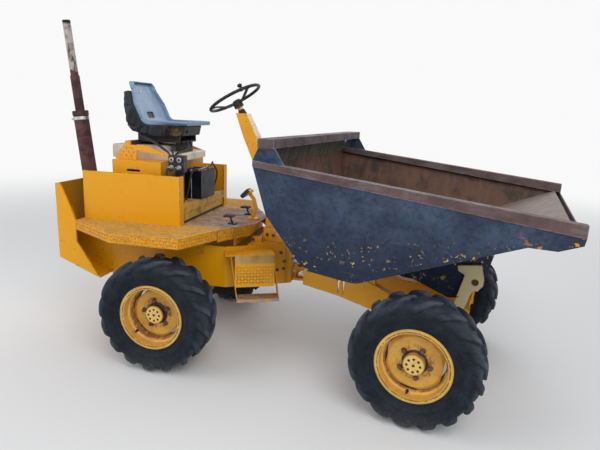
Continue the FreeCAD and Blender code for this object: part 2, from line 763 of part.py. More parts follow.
def fuel_tank():
    # Moulded tank with a low toe in front and a filler neck.
    outline = [
        # x, z, corner radius
        (TANK_REAR_X, COVER_TOP_Z, 0),
        (TANK_TOE_X, COVER_TOP_Z, 0),
        (TANK_TOE_X, TANK_TOE_Z, 10),
        (TANK_FRONT_X, TANK_TOE_Z, 10),
        (TANK_FRONT_X, TANK_TOP_Z, 18),
        (TANK_REAR_X, TANK_TOP_Z, 18),
    ]
    tank = side_form(outline, -TANK_HALF, TANK_HALF)
    neck = bar_z(TANK_REAR_X + 60, TANK_HALF - 50, TANK_TOP_Z - 2, TANK_TOP_Z + 22, 32)
    return fused([tank, neck])


def elbow(extra):
    # The pipe from the engine to the silencer.
    x, z = EXHAUST_FOOT
    z += ELBOW_RISE
    port = Vector(ENGINE_REAR_X, -ENGINE_HALF + 2 * ELBOW_RADIUS, z)
    run = rod(port + Vector(20, 0, 0), Vector(x, EXHAUST_Y, z), ELBOW_RADIUS + extra)
    block = box(ENGINE_REAR_X, ENGINE_FRONT_X, -ENGINE_HALF, ENGINE_HALF, ENGINE_BOTTOM_Z, ENGINE_TOP_Z)
    return run.cut(block)


def exhaust():
    # Silencer, collar, and a stack narrowing to an open tail pipe.
    points = [Vector(x, EXHAUST_Y, z) for x, z in (EXHAUST_FOOT, EXHAUST_COLLAR, EXHAUST_TOP)]
    foot, collar, top = points
    up = (top - collar).normalize()
    silencer = rod(foot, collar, SILENCER_RADIUS)
    ring = rod(collar - up * 12, collar + up * 20, SILENCER_RADIUS + 4)
    stack = rod(collar, collar + up * STACK_LENGTH, STACK_RADIUS)
    tail = pipe(collar + up * (STACK_LENGTH - 20), top, TAIL_RADIUS, PIPE_WALL)
    return fused([silencer, ring, stack, tail, elbow(0)])


def battery_shelf():
    y = PANEL_Y - PANEL_FLANGE
    low = SHELF_TOP_Z - SHELF_BOARD
    board = box(COVER_FRONT_X, SHELF_FRONT_X, -y, y, low, SHELF_TOP_Z)
    half = BULKHEAD_HALF
    bulkhead = box(SHELF_FRONT_X - 8, SHELF_FRONT_X - 4, -half, half, FRAME_TOP_Z, low)
    return fused([board, bulkhead])


def battery():
    # Case with an overhanging lid and two posts.
    x1 = SHELF_FRONT_X + 8
    x0 = x1 - BATTERY_DEPTH
    y0 = BATTERY_RIGHT_Y
    y1 = y0 + BATTERY_LENGTH
    top = SHELF_TOP_Z + BATTERY_HEIGHT
    case = box(x0, x1, y0, y1, SHELF_TOP_Z, top - BATTERY_LID)
    lid = box(x0 - 3, x1 + 3, y0 - 3, y1 + 3, top - BATTERY_LID, top)
    posts = []
    for y in (y0 + 35, y1 - 35):
        posts.append(bar_z(x1 - 30, y, top, top + 18, TERMINAL_RADIUS))
    return fused([case, lid] + posts)


def valve_block():
    # Spool valve on its bracket, with round ports on its right face and a lever with a knob.
    x0, x1, y0 = VALVE_REAR_X, VALVE_FRONT_X, VALVE_RIGHT_Y
    bracket = box(x0 + 20, x1 - 20, y0 + VALVE_DEPTH - 8, y0 + VALVE_DEPTH, SHELF_TOP_Z, VALVE_TOP_Z - 10)
    body = box(x0, x1, y0, y0 + VALVE_DEPTH, VALVE_BOTTOM_Z, VALVE_TOP_Z)
    pieces = [bracket, body]
    for x in (x0 + 30, x1 - 30):
        for z in (VALVE_BOTTOM_Z + 28, VALVE_TOP_Z - 28):
            pieces.append(bar_y(x, z, y0 - 16, y0 + 1, VALVE_PORT_RADIUS))
    foot = Vector(x0 + 25, y0 + VALVE_DEPTH / 2, VALVE_TOP_Z - 1)
    knob = foot + Vector(-8, 0, 38)
    pieces.append(rod(foot, knob, 6))
    pieces.append(Part.makeSphere(14, knob))
    return fused(pieces)


def seat_frame():
    # Holed brackets with sloping arms, rails under the seat, a spring's core and a front post.
    y0 = -BRACKET_Y
    y1 = y0 + BRACKET_PLATE
    plate = [
        # x, z, corner radius
        (-1321, COVER_TOP_Z, 0),
        (-1154, COVER_TOP_Z, 0),
        (-1151, 1380, 0),
        (-912, 1345, 4),
        (-912, 1360, 4),
        (-1090, 1416, 20),
        (-1249, 1414, 14),
    ]
    bracket = side_form(plate, y0, y1)
    holes = []
    for x, z in ((-1270, 1340), (-1230, 1340), (-1190, 1340), (-1250, 1365), (-1210, 1365), (-1172, 1365),
                 (-1225, 1390), (-1185, 1390)):
        holes.append(bar_y(x, z, y0 - 1, y1 + 1, 7))
    pieces = both_sides(bracket.cut(holes))
    pieces.append(box(-1240, -1200, y0, -y0, TANK_TOP_Z, RAIL_BOTTOM_Z + 8))
    rail = side_plate(PAD_UNDER + [(PAD_UNDER[2][0], RAIL_BOTTOM_Z), (PAD_UNDER[0][0], RAIL_BOTTOM_Z)],
                      -RAIL_Y, -RAIL_Y + 30)
    pieces += both_sides(rail)
    for x0, x1 in ((-1215, -1095), (-967, -891)):
        pieces.append(box(x0, x1, -RAIL_Y, RAIL_Y, RAIL_BOTTOM_Z, RAIL_BOTTOM_Z + 12))
    pieces.append(bar_z(SPRING_X, 0, TANK_TOP_Z, RAIL_BOTTOM_Z + 1, SPRING_RADIUS))
    pieces.append(box(-967, -891, -60, 60, TANK_TOE_Z, RAIL_BOTTOM_Z + 1))
    return fused(pieces)


def seat_front_view(half, top_half, top_z):
    # The outline that the pan and its pad share as seen from ahead.
    right = [
        # y, z, corner radius
        (half, PAD_UNDER[1][1] - 5, 0),
        (half, PAN_WAIST_Z, 60),
        (top_half, PAN_SHOULDER_Z, 60),
        (top_half, top_z, 34),
    ]
    left = [(-y, z, r) for y, z, r in reversed(right)]
    return cross_form(right + left, PAN_LINE[2][0] - 60, PAN_LINE[0][0] + 10)


def seat_shell():
    # Thick black pad below and behind the pan, its underside on the rails.
    top = offset_line(PAN_LINE, PAD_GAP)
    outline = [
        # x, z, corner radius
        (-700, top[0][1], 8),
        (top[1][0], top[1][1], PAN_FOLD + PAD_GAP),
        (top[1][0] - 101, top[1][1] + 223, 6),
        (-1303, 1787, 14),
        (-1267, 1547, 30),
        (PAD_UNDER[2][0], PAD_UNDER[2][1], 8),
        (PAD_UNDER[1][0], PAD_UNDER[1][1], 60),
        (PAD_UNDER[0][0], PAD_UNDER[0][1], 10),
    ]
    pad = side_form(outline, -PAD_HALF, PAD_HALF)
    return pad.common(seat_front_view(PAD_HALF, PAD_TOP_HALF, PAN_TOP_Z - 40)).removeSplitter()


def seat_pan():
    # Pressed pan: one folded tray with a raised rim all round, and a hand slot through its back.
    face = offset_line(PAN_LINE, -PAN_DEPTH)
    tray = [(x, z, r) for (x, z), r in zip(PAN_LINE, (6, PAN_FOLD, 6))]
    tray += [(x, z, r) for (x, z), r in zip(face[::-1], (6, PAN_FOLD - PAN_DEPTH, 6))]
    tray = side_form(tray, -PAN_HALF, PAN_HALF)
    tray = tray.common(seat_front_view(PAN_HALF, PAN_TOP_HALF, PAN_TOP_Z))
    floor = offset_line(PAN_LINE, -PAN_WALL)
    floor[0] = (floor[0][0] - PAN_WALL, floor[0][1])
    above = offset_line(PAN_LINE, -2 * PAN_DEPTH)
    above[0] = (above[0][0] - PAN_WALL, above[0][1])
    pocket = [(x, z, r) for (x, z), r in zip(floor, (0, PAN_FOLD - PAN_WALL, 0))]
    pocket += [(x, z, 0) for x, z in above[::-1]]
    pocket = side_form(pocket, -PAN_HALF, PAN_HALF)
    wall = PAN_WALL
    pocket = pocket.common(seat_front_view(PAN_HALF - wall, PAN_TOP_HALF - wall, PAN_TOP_Z - wall))
    y0, y1, z0, z1 = PAN_SLOT
    corners = [(y0, z0, 18), (y1, z0, 18), (y1, z1, 18), (y0, z1, 18)]
    slot = cross_form(corners, PAN_LINE[2][0], PAN_LINE[1][0] + 60)
    return tray.cut(pocket).cut(slot).removeSplitter()


def steering_column():
    # Pedestal box on the frame's lid, then a folded column drawn through a few level sections.
    foot = [
        (PEDESTAL_REAR_X, LID_TOP_Z),
        (PEDESTAL_REAR_X, PEDESTAL_TOP_Z),
        (-198, PEDESTAL_TOP_Z),
        (-117, LID_TOP_Z),
    ]
    base = side_plate(foot, -PEDESTAL_HALF, PEDESTAL_HALF)
    rows = [
        # z, rear x, front x, half width
        (PEDESTAL_TOP_Z - 5, -262, -202, 110),
        (1060, -264, -206, 94),
        (1349, -386, -311, 72),
        (1504, -458, -363, 58),
        (1655, -515, -437, 48),
    ]
    wires = []
    for z, x0, x1, y in rows:
        corners = [Vector(x0, -y, z), Vector(x1, -y, z), Vector(x1, y, z), Vector(x0, y, z)]
        wires.append(Part.makePolygon(corners + [corners[0]]))
    pedestal = Part.makeLoft(wires, True, True)
    axis = wheel_axis()
    centre = Vector(WHEEL_CENTRE_X, 0, WHEEL_CENTRE_Z)
    tube = rod(centre - axis * 150, centre - axis * 78, COLUMN_TUBE_RADIUS)
    spindle = rod(centre - axis * 100, centre - axis * 44, COLUMN_SPINDLE_RADIUS)
    return fused([base, pedestal, tube, spindle])


def wheel_axis():
    lean = math.radians(WHEEL_LEAN)
    return Vector(-math.sin(lean), 0, math.cos(lean))


def steering_wheel():
    # Rim, three dished flat spokes and hub, drawn flat and then leaned back on the column.
    ring = WHEEL_RADIUS - WHEEL_RIM_RADIUS
    pieces = [Part.makeTorus(ring, WHEEL_RIM_RADIUS)]
    pieces.append(bar_z(0, 0, WHEEL_HUB_LOW, WHEEL_HUB_HIGH, WHEEL_HUB_RADIUS))
    line = [(20, -44), (62, -44), (148, -6), (ring - 2, -3)]
    spoke = side_plate(bent_sheet(line, 6), -WHEEL_SPOKE / 2, WHEEL_SPOKE / 2)
    for i in range(3):
        copy = spoke.copy()
        copy.rotate(Vector(0, 0, 0), Vector(0, 0, 1), 90 + 120 * i)
        pieces.append(copy)
    bore = bar_z(0, 0, WHEEL_HUB_LOW - 1, -43, COLUMN_SPINDLE_RADIUS + PIVOT_FIT)
    piece = fused(pieces).cut(bore)
    piece.rotate(Vector(0, 0, 0), Vector(0, 1, 0), -WHEEL_LEAN)
    return piece.translated(Vector(WHEEL_CENTRE_X, 0, WHEEL_CENTRE_Z))


def step():
    # Riser and tread hung from a top plate by two raked straps, welded to the right side plate.
    t = STEP_PLATE
    half = STEP_HALF
    low = STEP_TREAD_Z
    lip = 18.0
    front = -10.0
    back = 90.0
    right = half + 36.0
    left = -half + 12.0
    top = box(-half - 63, half + 3, lip, 260, STEP_TOP_Z - 8, STEP_TOP_Z)
    riser = box(-half, half, 0, t, STEP_RISER_BOTTOM_Z, STEP_RISER_TOP_Z)
    slope = [
        (0, STEP_RISER_TOP_Z - 1, 0),
        (t, STEP_RISER_TOP_Z - 1, 0),
        (lip + t, STEP_TOP_Z - 6, 0),
        (lip, STEP_TOP_Z - 6, 0),
    ]
    pieces = [top, riser, cross_form(slope, -half, half)]
    pieces.append(box(left, right, front, back, low - t, low))
    pieces.append(box(left, right, front, front + t, low - STEP_TREAD_LIP, low))
    for x in (left, right - t):
        section = [Vector(x, front, low - t), Vector(x + t, front, low - t),
                   Vector(x + t, back - 30, low - t), Vector(x, back - 30, low - t)]
        pieces.append(face_of(section).extrude(STEP_RAKE))
    hung = fused(pieces)
    hung.rotate(Vector(0, 0, 0), Vector(0, 0, 1), STEP_YAW)
    hung.translate(Vector(STEP_CENTRE[0], STEP_CENTRE[1], 0))
    return hung.cut(plan_plate(frame_plan(0), 0, LID_TOP_Z)).removeSplitter()


def brake_pedal():
    line = [(-385, DECK_TOP_Z), (-358, 990), (-376, 1056), (-416, 1104)]
    arm = side_plate(bent_sheet(line, 26), -6, 6)
    foot = box(-425, -350, -30, 30, DECK_TOP_Z, DECK_TOP_Z + 10)
    outline = [(-404, 1112, 0), (-424, 1116, 4), (-474, 1066, 4), (-462, 1052, 4), (-398, 1100, 0)]
    pad = side_form(outline, -34, 34)
    return fused([arm, foot, pad])


def foot_pedals():
    pieces = []
    for y in (-215, 140):
        x = -470
        base = box(x - 30, x + 30, y - 20, y + 20, DECK_TOP_Z, DECK_TOP_Z + 8)
        stem = rod(Vector(x, y, DECK_TOP_Z + 4), Vector(x - 20, y, DECK_TOP_Z + 55), 6)
        pad = box(x - 60, x + 10, y - 25, y + 25, DECK_TOP_Z + 50, DECK_TOP_Z + 58)
        pieces.append(fused([base, stem, pad]))
    return Part.makeCompound(pieces)


# Front half
def front_frame():
    # Two tapered beams with turned-in flanges and two dart cuts each, the rear cross plate with
    # its pivot boss, and the cross box that carries the skip's posts.
    top = [(BEAM_REAR_X, BEAM_REAR_TOP_Z), (540, 612), (700, 552), (BEAM_FRONT_X, 540)]
    bottom = [
        (BEAM_FRONT_X, BEAM_BOTTOM_Z),
        (830, BEAM_BOTTOM_Z),
        (640, 412),
        (536, 434),
        (332, 481),
        (BEAM_REAR_X, BEAM_REAR_BOTTOM_Z),
    ]
    beam = side_plate(top + bottom, -BEAM_Y, -BEAM_Y + BEAM_PLATE)
    for x0, x1, x, z in NOTCHES:
        high = BEAM_REAR_TOP_Z - BEAM_FLANGE_PLATE - 2
        beam = beam.cut(side_plate([(x0, high), (x1, high), (x, z)], -BEAM_Y - 1, -BEAM_Y + BEAM_PLATE + 1))
    flange = side_plate(bent_sheet(top, -BEAM_FLANGE_PLATE), -BEAM_Y, -BEAM_Y + BEAM_FLANGE)
    buffer = box(545, 590, -BEAM_Y + 5, -BEAM_Y + 55, 560, SKIP_LOW_Z - 6)
    pieces = both_sides(beam) + both_sides(flange) + both_sides(buffer)
    rear_x = BEAM_REAR_X + BEAM_PLATE
    pieces.append(box(BEAM_REAR_X, rear_x, -BEAM_Y, BEAM_Y, BEAM_REAR_BOTTOM_Z, BEAM_REAR_TOP_Z))
    x0, x1, z0, z1 = CROSS_BOX
    y = POST_Y + POST_HALF
    pieces.append(box(x0, x1, -y, y, z0, z1))
    boss_low = LOWER_EAR_Z + EAR_THICKNESS + PIVOT_GAP
    boss_high = UPPER_EAR_Z - PIVOT_GAP
    pieces.append(bar_z(0, 0, boss_low, boss_high, BOSS_RADIUS))
    pieces.append(box(10, BEAM_REAR_X + 6, -40, 40, boss_low + 4, boss_high - 4))
    x, z = TIP_BASE
    pieces.append(box(x - 60, x - 40, -BEAM_Y + 6, BEAM_Y - 6, z - 45, z + 45))
    inner = RAM_EAR_INNER
    ear = bar_y(x, z, inner, inner + RAM_EAR, TIP_RAM_EYE_RADIUS)
    root = box(x - 50, x, inner, inner + RAM_EAR, z - TIP_RAM_EYE_RADIUS, z + TIP_RAM_EYE_RADIUS)
    pieces += both_sides(ear.fuse(root))
    pieces.append(bar_y(x, z, -inner - RAM_EAR, inner + RAM_EAR, TIP_PIN_RADIUS))
    x, y = STEER_EYE
    half = STEER_TAB_HALF
    for z in (STEER_RAM_Z - inner - RAM_EAR, STEER_RAM_Z + inner):
        tab = bar_z(x, y, z, z + RAM_EAR, STEER_RAM_EYE_RADIUS + 6)
        pieces.append(tab.fuse(box(x, x + 80, y - half, y + half, z, z + RAM_EAR)))
    high = BEAM_REAR_BOTTOM_Z + 45
    pieces.append(box(x + 68, x + 80, y - half, y + half, STEER_RAM_Z - inner - RAM_EAR, high))
    pieces.append(box(BEAM_REAR_X + 4, x + 80, y - half, y + half, BEAM_REAR_BOTTOM_Z + 5, high))
    frame = fused(pieces)
    return frame.cut(bar_z(0, 0, 0, SKIP_LOW_Z, PIVOT_PIN_RADIUS + PIVOT_FIT))


def skip_posts():
    # Plates with heads for the skip's hinge pins, each pin in a round recess.
    outline = [
        (1080, CROSS_BOX[3]),
        (1145, CROSS_BOX[3]),
        (1196, 700),
        (1225, 702),
        (1252, 740),
        (1252, 775),
        (1232, 863),
        (1100, 842),
        (1104, 812),
        (1144, 790),
    ]
    post = side_plate(outline, -POST_Y - POST_HALF, -POST_Y + POST_HALF)
    inner = -HINGE_PLATE_Y + HINGE_PLATE + 6
    pin = bar_y(SKIP_PIVOT_X, SKIP_PIVOT_Z, -POST_Y - 2, inner, SKIP_PIN_RADIUS)
    recess = bar_y(SKIP_PIVOT_X, SKIP_PIVOT_Z, -POST_Y - POST_HALF - 1, -POST_Y - 2, SKIP_PIN_RADIUS)
    piece = fused([post.cut(recess), pin])
    return Part.makeCompound(both_sides(piece))


def rim_share(x):
    return (x - RIM_REAR[0]) / (RIM_FRONT[0] - RIM_REAR[0])


def rim_top_z(x):
    return RIM_REAR[1] + rim_share(x) * (RIM_FRONT[1] - RIM_REAR[1])


def rim_bottom_z(x):
    return rim_top_z(x) - RIM_REAR_DEPTH - rim_share(x) * (RIM_FRONT_DEPTH - RIM_REAR_DEPTH)


def ramp_z(x):
    # Height of the floor's underside where it climbs to the lip.
    slope = (rim_bottom_z(LIP_X) - SKIP_LOW_Z) / (LIP_X - SKIP_RAMP_X)
    return SKIP_LOW_Z + slope * (x - SKIP_RAMP_X)


def skip_side_y(x, z, inset):
    # The side plates lean out from the floor to the rim.
    top = SKIP_HALF - SKIP_RIM_STEP
    lean = (top - SKIP_FLOOR_HALF) / (rim_bottom_z(SKIP_LOW_X) - SKIP_LOW_Z)
    return top - inset - lean * (rim_bottom_z(x) - z)


def skip_wedge(inset):
    # The space between the two side plates, as a block with flat leaning sides.
    corners = {}
    for i, x in enumerate((-300.0, 2000.0)):
        for j, z in enumerate((500.0, 1700.0)):
            for k, side in enumerate((-1, 1)):
                corners[i, j, k] = Vector(x, side * skip_side_y(x, z, inset), z)
    faces = []
    for axis in range(3):
        for end in (0, 1):
            ring = []
            for a, b in ((0, 0), (0, 1), (1, 1), (1, 0)):
                key = [a, b]
                key.insert(axis, end)
                ring.append(corners[tuple(key)])
            faces.append(face_of(ring))
    return solid_of(faces)


def skip_line():
    # The tub's underside from the rear rim round the floor to the lip.
    return [
        (RIM_REAR[0], rim_bottom_z(RIM_REAR[0])),
        (47, 1097),
        (226, 833),
        (290, 777),
        (SKIP_LOW_X, SKIP_LOW_Z),
        (SKIP_RAMP_X, SKIP_LOW_Z),
        (LIP_X, rim_bottom_z(LIP_X)),
    ]


def skip_tub():
    # Open tub of plate: one block with leaning sides less the same block inside the plate.
    line = skip_line()
    outer = side_plate(line, -SKIP_BEYOND, SKIP_BEYOND).common(skip_wedge(0))
    inner_line = offset_line(line, SKIP_PLATE)
    above = [(inner_line[-1][0] + 60, inner_line[-1][1] + 600), (inner_line[0][0], inner_line[0][1] + 400)]
    inner = side_plate(inner_line + above, -SKIP_BEYOND, SKIP_BEYOND).common(skip_wedge(SKIP_PLATE))
    return outer.cut(inner).removeSplitter()


def skip_rims():
    outline = [
        RIM_REAR,
        RIM_FRONT,
        (RIM_FRONT[0], rim_bottom_z(RIM_FRONT[0])),
        (RIM_REAR[0], rim_bottom_z(RIM_REAR[0])),
    ]
    rim = side_plate(outline, -SKIP_HALF, -SKIP_HALF + RIM_WIDTH)
    return Part.makeCompound(both_sides(rim))


def skip_headboard():
    # Rail across the back with the plate below it and a cheek at each end.
    x0 = HEADBOARD_REAR_X
    x1 = x0 + HEADBOARD_DEPTH
    z0 = HEADBOARD_TOP_Z - HEADBOARD_RAIL
    low = rim_bottom_z(RIM_REAR[0])
    end = SKIP_HALF + HEADBOARD_OVERHANG
    inner = SKIP_HALF - RIM_WIDTH
    rail = box(x0, x1, -end, end, z0, HEADBOARD_TOP_Z)
    plate = side_plate(bent_sheet([(x0, z0 + 2), (RIM_REAR[0], low)], SKIP_PLATE), -inner, inner)
    plate = plate.common(box(x0 - 200, x1, -inner, inner, low, HEADBOARD_TOP_Z))
    cheek = [RIM_REAR, (x0, z0 + 2), (x1, z0 + 2), (x1 + 60, rim_top_z(x1 + 60))]
    cheeks = both_sides(side_plate(cheek, -SKIP_HALF, -SKIP_HALF + SKIP_PLATE))
    return fused([rail, plate] + cheeks)


def skip_nose():
    # Folded plate under the lip, closed at its ends.
    start = (NOSE_X, ramp_z(NOSE_X))
    line = [start, (1563, 1108), (1662, 1151), (1666, 1184)]
    beyond = SKIP_BEYOND
    sheet = side_plate(bent_sheet(line, SKIP_PLATE), -beyond, beyond).common(skip_wedge(0))
    tip = (LIP_X, rim_bottom_z(LIP_X))
    ends = side_plate(line + [tip], -beyond, beyond).common(skip_wedge(0)).cut(skip_wedge(SKIP_PLATE))
    tub = side_plate([start, tip, (LIP_X, 1400), (NOSE_X, 1400)], -beyond, beyond)
    return sheet.fuse(ends).cut(tub).removeSplitter()


def skip_underframe():
    # Hinge plates, a cross web, and the two ears for the tipping ram's rod.
    outline = [
        (700, ramp_z(700)),
        (1320, ramp_z(1320)),
        (1253, 754),
        (1205, 706),
        (1150, 640),
        (1060, 625),
        (860, 700),
    ]
    y0 = -HINGE_PLATE_Y
    y1 = y0 + HINGE_PLATE
    plate = side_plate(outline, y0, y1).fuse(bar_y(SKIP_PIVOT_X, SKIP_PIVOT_Z, y0, y1, HINGE_BOSS_RADIUS))
    plate = plate.cut(bar_y(SKIP_PIVOT_X, SKIP_PIVOT_Z, y0 - 1, y1 + 1, SKIP_PIN_RADIUS + PIVOT_FIT))
    x, z = TIP_EYE
    inner = RAM_EAR_INNER
    outline = [
        (x - 70, ramp_z(x - 70)),
        (x + 96, ramp_z(x + 96)),
        (x + 30, z - 20),
        (x, z - 34),
        (x - 30, z - 20),
    ]
    ear = side_plate(outline, inner, inner + RAM_EAR)
    ear = ear.fuse(bar_y(x, z, inner, inner + RAM_EAR + 10, TIP_PIN_RADIUS))
    web_x = x + 92
    web = [
        (web_x, ramp_z(web_x)),
        (web_x + 8, ramp_z(web_x + 8)),
        (web_x + 8, ramp_z(web_x + 8) - CROSS_WEB),
        (web_x, ramp_z(web_x) - CROSS_WEB),
    ]
    return fused(both_sides(plate) + both_sides(ear) + [side_plate(web, y0 + 2, -y0 - 2)])


# Rams
def ram(base, eye, barrel_radius, rod_radius, barrel_length, stroke_in, eye_radius, pin_radius):
    # A hydraulic cylinder between two eyes in the plane y = 0, with room for the rod to go in
    # by stroke_in: the barrel, and its rod with a solid eye.
    start = Vector(base[0], 0, base[1])
    end = Vector(eye[0], 0, eye[1])
    along = (end - start).normalize()
    neck = start + along * barrel_length
    barrel_start = start + along * (eye_radius + RAM_EYE_NECK)
    bore_start = barrel_start + along * RAM_BASE_WALL
    barrel = rod(barrel_start, neck, barrel_radius).fuse(rod(start, bore_start, RAM_EYE_HALF - 2))
    barrel = barrel.fuse(bar_y(base[0], base[1], -RAM_EYE_HALF, RAM_EYE_HALF, eye_radius))
    barrel = barrel.cut(rod(bore_start, neck + along, rod_radius + PIVOT_FIT))
    barrel = barrel.cut(bar_y(base[0], base[1], -RAM_EYE_HALF - 1, RAM_EYE_HALF + 1, pin_radius + PIVOT_FIT))
    rod_start = bore_start + along * (stroke_in + RAM_BASE_WALL)
    rod_piece = rod(rod_start, end, rod_radius)
    rod_piece = rod_piece.fuse(bar_y(eye[0], eye[1], -RAM_EYE_HALF, RAM_EYE_HALF, eye_radius))
    return barrel.removeSplitter(), rod_piece.removeSplitter()


def tipping_ram():
    return ram(
        TIP_BASE, TIP_EYE, TIP_BARREL_RADIUS, TIP_ROD_RADIUS, TIP_BARREL_LENGTH, 0,
        TIP_RAM_EYE_RADIUS, TIP_PIN_RADIUS,
    )


def steering_ram():
    # Lies level on the left, from the rear half to the front half's eye where it parks.
    turn = math.radians(PARKED_TURN)
    ex, ey = STEER_EYE
    eye = (ex * math.cos(turn) + ey * math.sin(turn), ey * math.cos(turn) - ex * math.sin(turn))
    pieces = ram(
        (STEER_BASE[0], -STEER_BASE[1]), (eye[0], -eye[1]), STEER_BARREL_RADIUS, STEER_ROD_RADIUS,
        STEER_BARREL_LENGTH, STEER_STROKE_IN, STEER_RAM_EYE_RADIUS, STEER_PIN_RADIUS,
    )
    for piece in pieces:
        piece.rotate(Vector(0, 0, 0), Vector(1, 0, 0), 90)
        piece.translate(Vector(0, 0, STEER_RAM_Z))
    return pieces


def build():
    rear = {
        "rear_chassis": rear_frame(),
        "pivot_pin": pivot_pin(),
        "deck_right": deck_half(),
        "deck_left": mirrored(deck_half()),
        "footplate": footplate(),
        "side_panel_right": side_panel(),
        "side_panel_left": mirrored(side_panel()),
        "rear_guard": rear_guard(),
        "tow_bracket": tow_bracket(),
        "engine_block": engine_block(),
        "engine_cover": engine_cover(),
        "fuel_tank": fuel_tank(),
        "exhaust": exhaust(),
        "battery_shelf": battery_shelf(),
        "battery": battery(),
        "valve_block": valve_block(),
        "seat_frame": seat_frame(),
        "seat_shell": seat_shell(),
        "seat_pan": seat_pan(),
        "steering_column": steering_column(),
        "steering_wheel": steering_wheel(),
        "step_right": step(),
        "step_left": mirrored(step()),
        "brake_pedal": brake_pedal(),
        "foot_pedals": foot_pedals(),
        "rear_axle": axle(REAR_AXLE_X, REAR_DISC_INSET, FRAME_BOTTOM_Z, FRAME_HALF - 115, FRAME_HALF - 20),
    }
    rear["steer_ram_barrel"], rear["steer_ram_rod"] = steering_ram()
    front = {
        "front_chassis": front_frame(),
        "front_axle": axle(FRONT_AXLE_X, FRONT_DISC_INSET, BEAM_BOTTOM_Z, BEAM_Y - 50, BEAM_Y + 40),
        "skip_posts": skip_posts(),
        "skip_tub": skip_tub(),
        "skip_rims": skip_rims(),
        "skip_headboard": skip_headboard(),
        "skip_nose": skip_nose(),
        "skip_underframe": skip_underframe(),
    }
    front["tip_ram_barrel"], front["tip_ram_rod"] = tipping_ram()
    tread = tyre()
    rear_wheel = wheel(REAR_DISC_INSET, REAR_DISC_TURN)
    front_wheel = wheel(FRONT_DISC_INSET, FRONT_DISC_TURN)
    for name, side in (("right", -1), ("left", 1)):
        rear["tyre_rear_" + name] = placed(tread, REAR_AXLE_X, side)
        rear["wheel_rear_" + name] = placed(rear_wheel, REAR_AXLE_X, side)
        front["tyre_front_" + name] = placed(tread, FRONT_AXLE_X, side)
        front["wheel_front_" + name] = placed(front_wheel, FRONT_AXLE_X, side)
    for piece in front.values():
        piece.rotate(Vector(0, 0, 0), Vector(0, 0, 1), -PARKED_TURN)
    shapes = dict(rear)
    shapes.update(front)
    everything = Part.makeCompound(list(shapes.values())).optimalBoundingBox(False)
    middle = Vector(-everything.Center.x, -everything.Center.y, -everything.ZMin)
    return {name: shape.translated(middle) for name, shape in shapes.items()}, middle


def main():
    os.makedirs("parts", exist_ok=True)
    shapes, middle = build()
    for name, shape in shapes.items():
        shape.exportStep(os.path.join("parts", name + ".step"))
        print(name, shape.isValid(), len(shape.Solids), round(shape.Volume / 1e6, 2))


main()
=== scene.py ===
import json
import math

import bmesh
import bpy
from bpy.props import FloatProperty, FloatVectorProperty, IntProperty, PointerProperty
from mathutils import Matrix, Vector


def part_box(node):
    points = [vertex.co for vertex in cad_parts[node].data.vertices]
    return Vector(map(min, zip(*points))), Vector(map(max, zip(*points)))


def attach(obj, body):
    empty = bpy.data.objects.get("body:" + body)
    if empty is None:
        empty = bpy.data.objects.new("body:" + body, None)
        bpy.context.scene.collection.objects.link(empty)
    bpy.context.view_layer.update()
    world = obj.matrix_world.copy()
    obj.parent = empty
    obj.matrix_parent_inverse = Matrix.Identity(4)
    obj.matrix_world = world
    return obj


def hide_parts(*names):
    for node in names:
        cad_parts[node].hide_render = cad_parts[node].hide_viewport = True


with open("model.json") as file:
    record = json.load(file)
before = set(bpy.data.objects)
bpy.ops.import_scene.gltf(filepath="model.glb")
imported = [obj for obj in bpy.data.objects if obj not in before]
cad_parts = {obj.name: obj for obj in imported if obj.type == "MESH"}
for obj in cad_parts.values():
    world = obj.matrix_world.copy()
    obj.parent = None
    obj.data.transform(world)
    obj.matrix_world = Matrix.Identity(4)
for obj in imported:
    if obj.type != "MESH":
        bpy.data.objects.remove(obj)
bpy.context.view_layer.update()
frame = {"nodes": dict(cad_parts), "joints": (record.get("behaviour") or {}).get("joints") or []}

bl_info = {
    "name": "Site dumper",
    "version": (1, 0, 0),
    "blender": (4, 5, 0),
    "location": "View3D > Sidebar > Dumper",
    "description": "Finishes, tyres, seat, tread plate and fittings of an articulated site dumper",
    "category": "Object",
}

MM = 0.001


def joint(name):
    """One joint of the frame by its name."""
    return next(j for j in frame["joints"] if j["name"] == name)


# Pieces are drawn in millimetres about the steering pivot on the ground, each half pointing straight
# ahead; REAR and FRONT carry the drawing of a half into the frame.
WHEEL_HEIGHT = sum(corner.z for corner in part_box("wheel_rear_right")) / 2
DRAWN_WHEEL_HEIGHT = 379 * MM
PIVOT = Vector((joint("steer")["pos_m"][0], joint("steer")["pos_m"][1], WHEEL_HEIGHT - DRAWN_WHEEL_HEIGHT))
FRONT_AXIS = Vector(joint("front_right_wheel_spin")["axis"])
PARKED_TURN = -math.atan2(FRONT_AXIS.x, FRONT_AXIS.y)
REAR = Matrix.Translation(PIVOT)
FRONT = REAR @ Matrix.Rotation(PARKED_TURN, 4, "Z")
HALVES = {"rear": REAR, "front": FRONT}


def srgb(red, green, blue):
    """A colour given in bytes, as the linear values that a shader takes."""
    linear = []
    for byte in (red, green, blue):
        c = byte / 255.0
        linear.append(c / 12.92 if c <= 0.04045 else ((c + 0.055) / 1.055) ** 2.4)
    return tuple(linear)


def rgba(colour):
    return (colour[0], colour[1], colour[2], 1.0)


# Settings

def colour_prop(name, text, default):
    return FloatVectorProperty(name=name, description=text, subtype="COLOR", size=3, min=0, max=1,
                               default=default)


def length_prop(name, text, millimetres):
    return FloatProperty(name=name, description=text, unit="LENGTH", default=millimetres * MM)


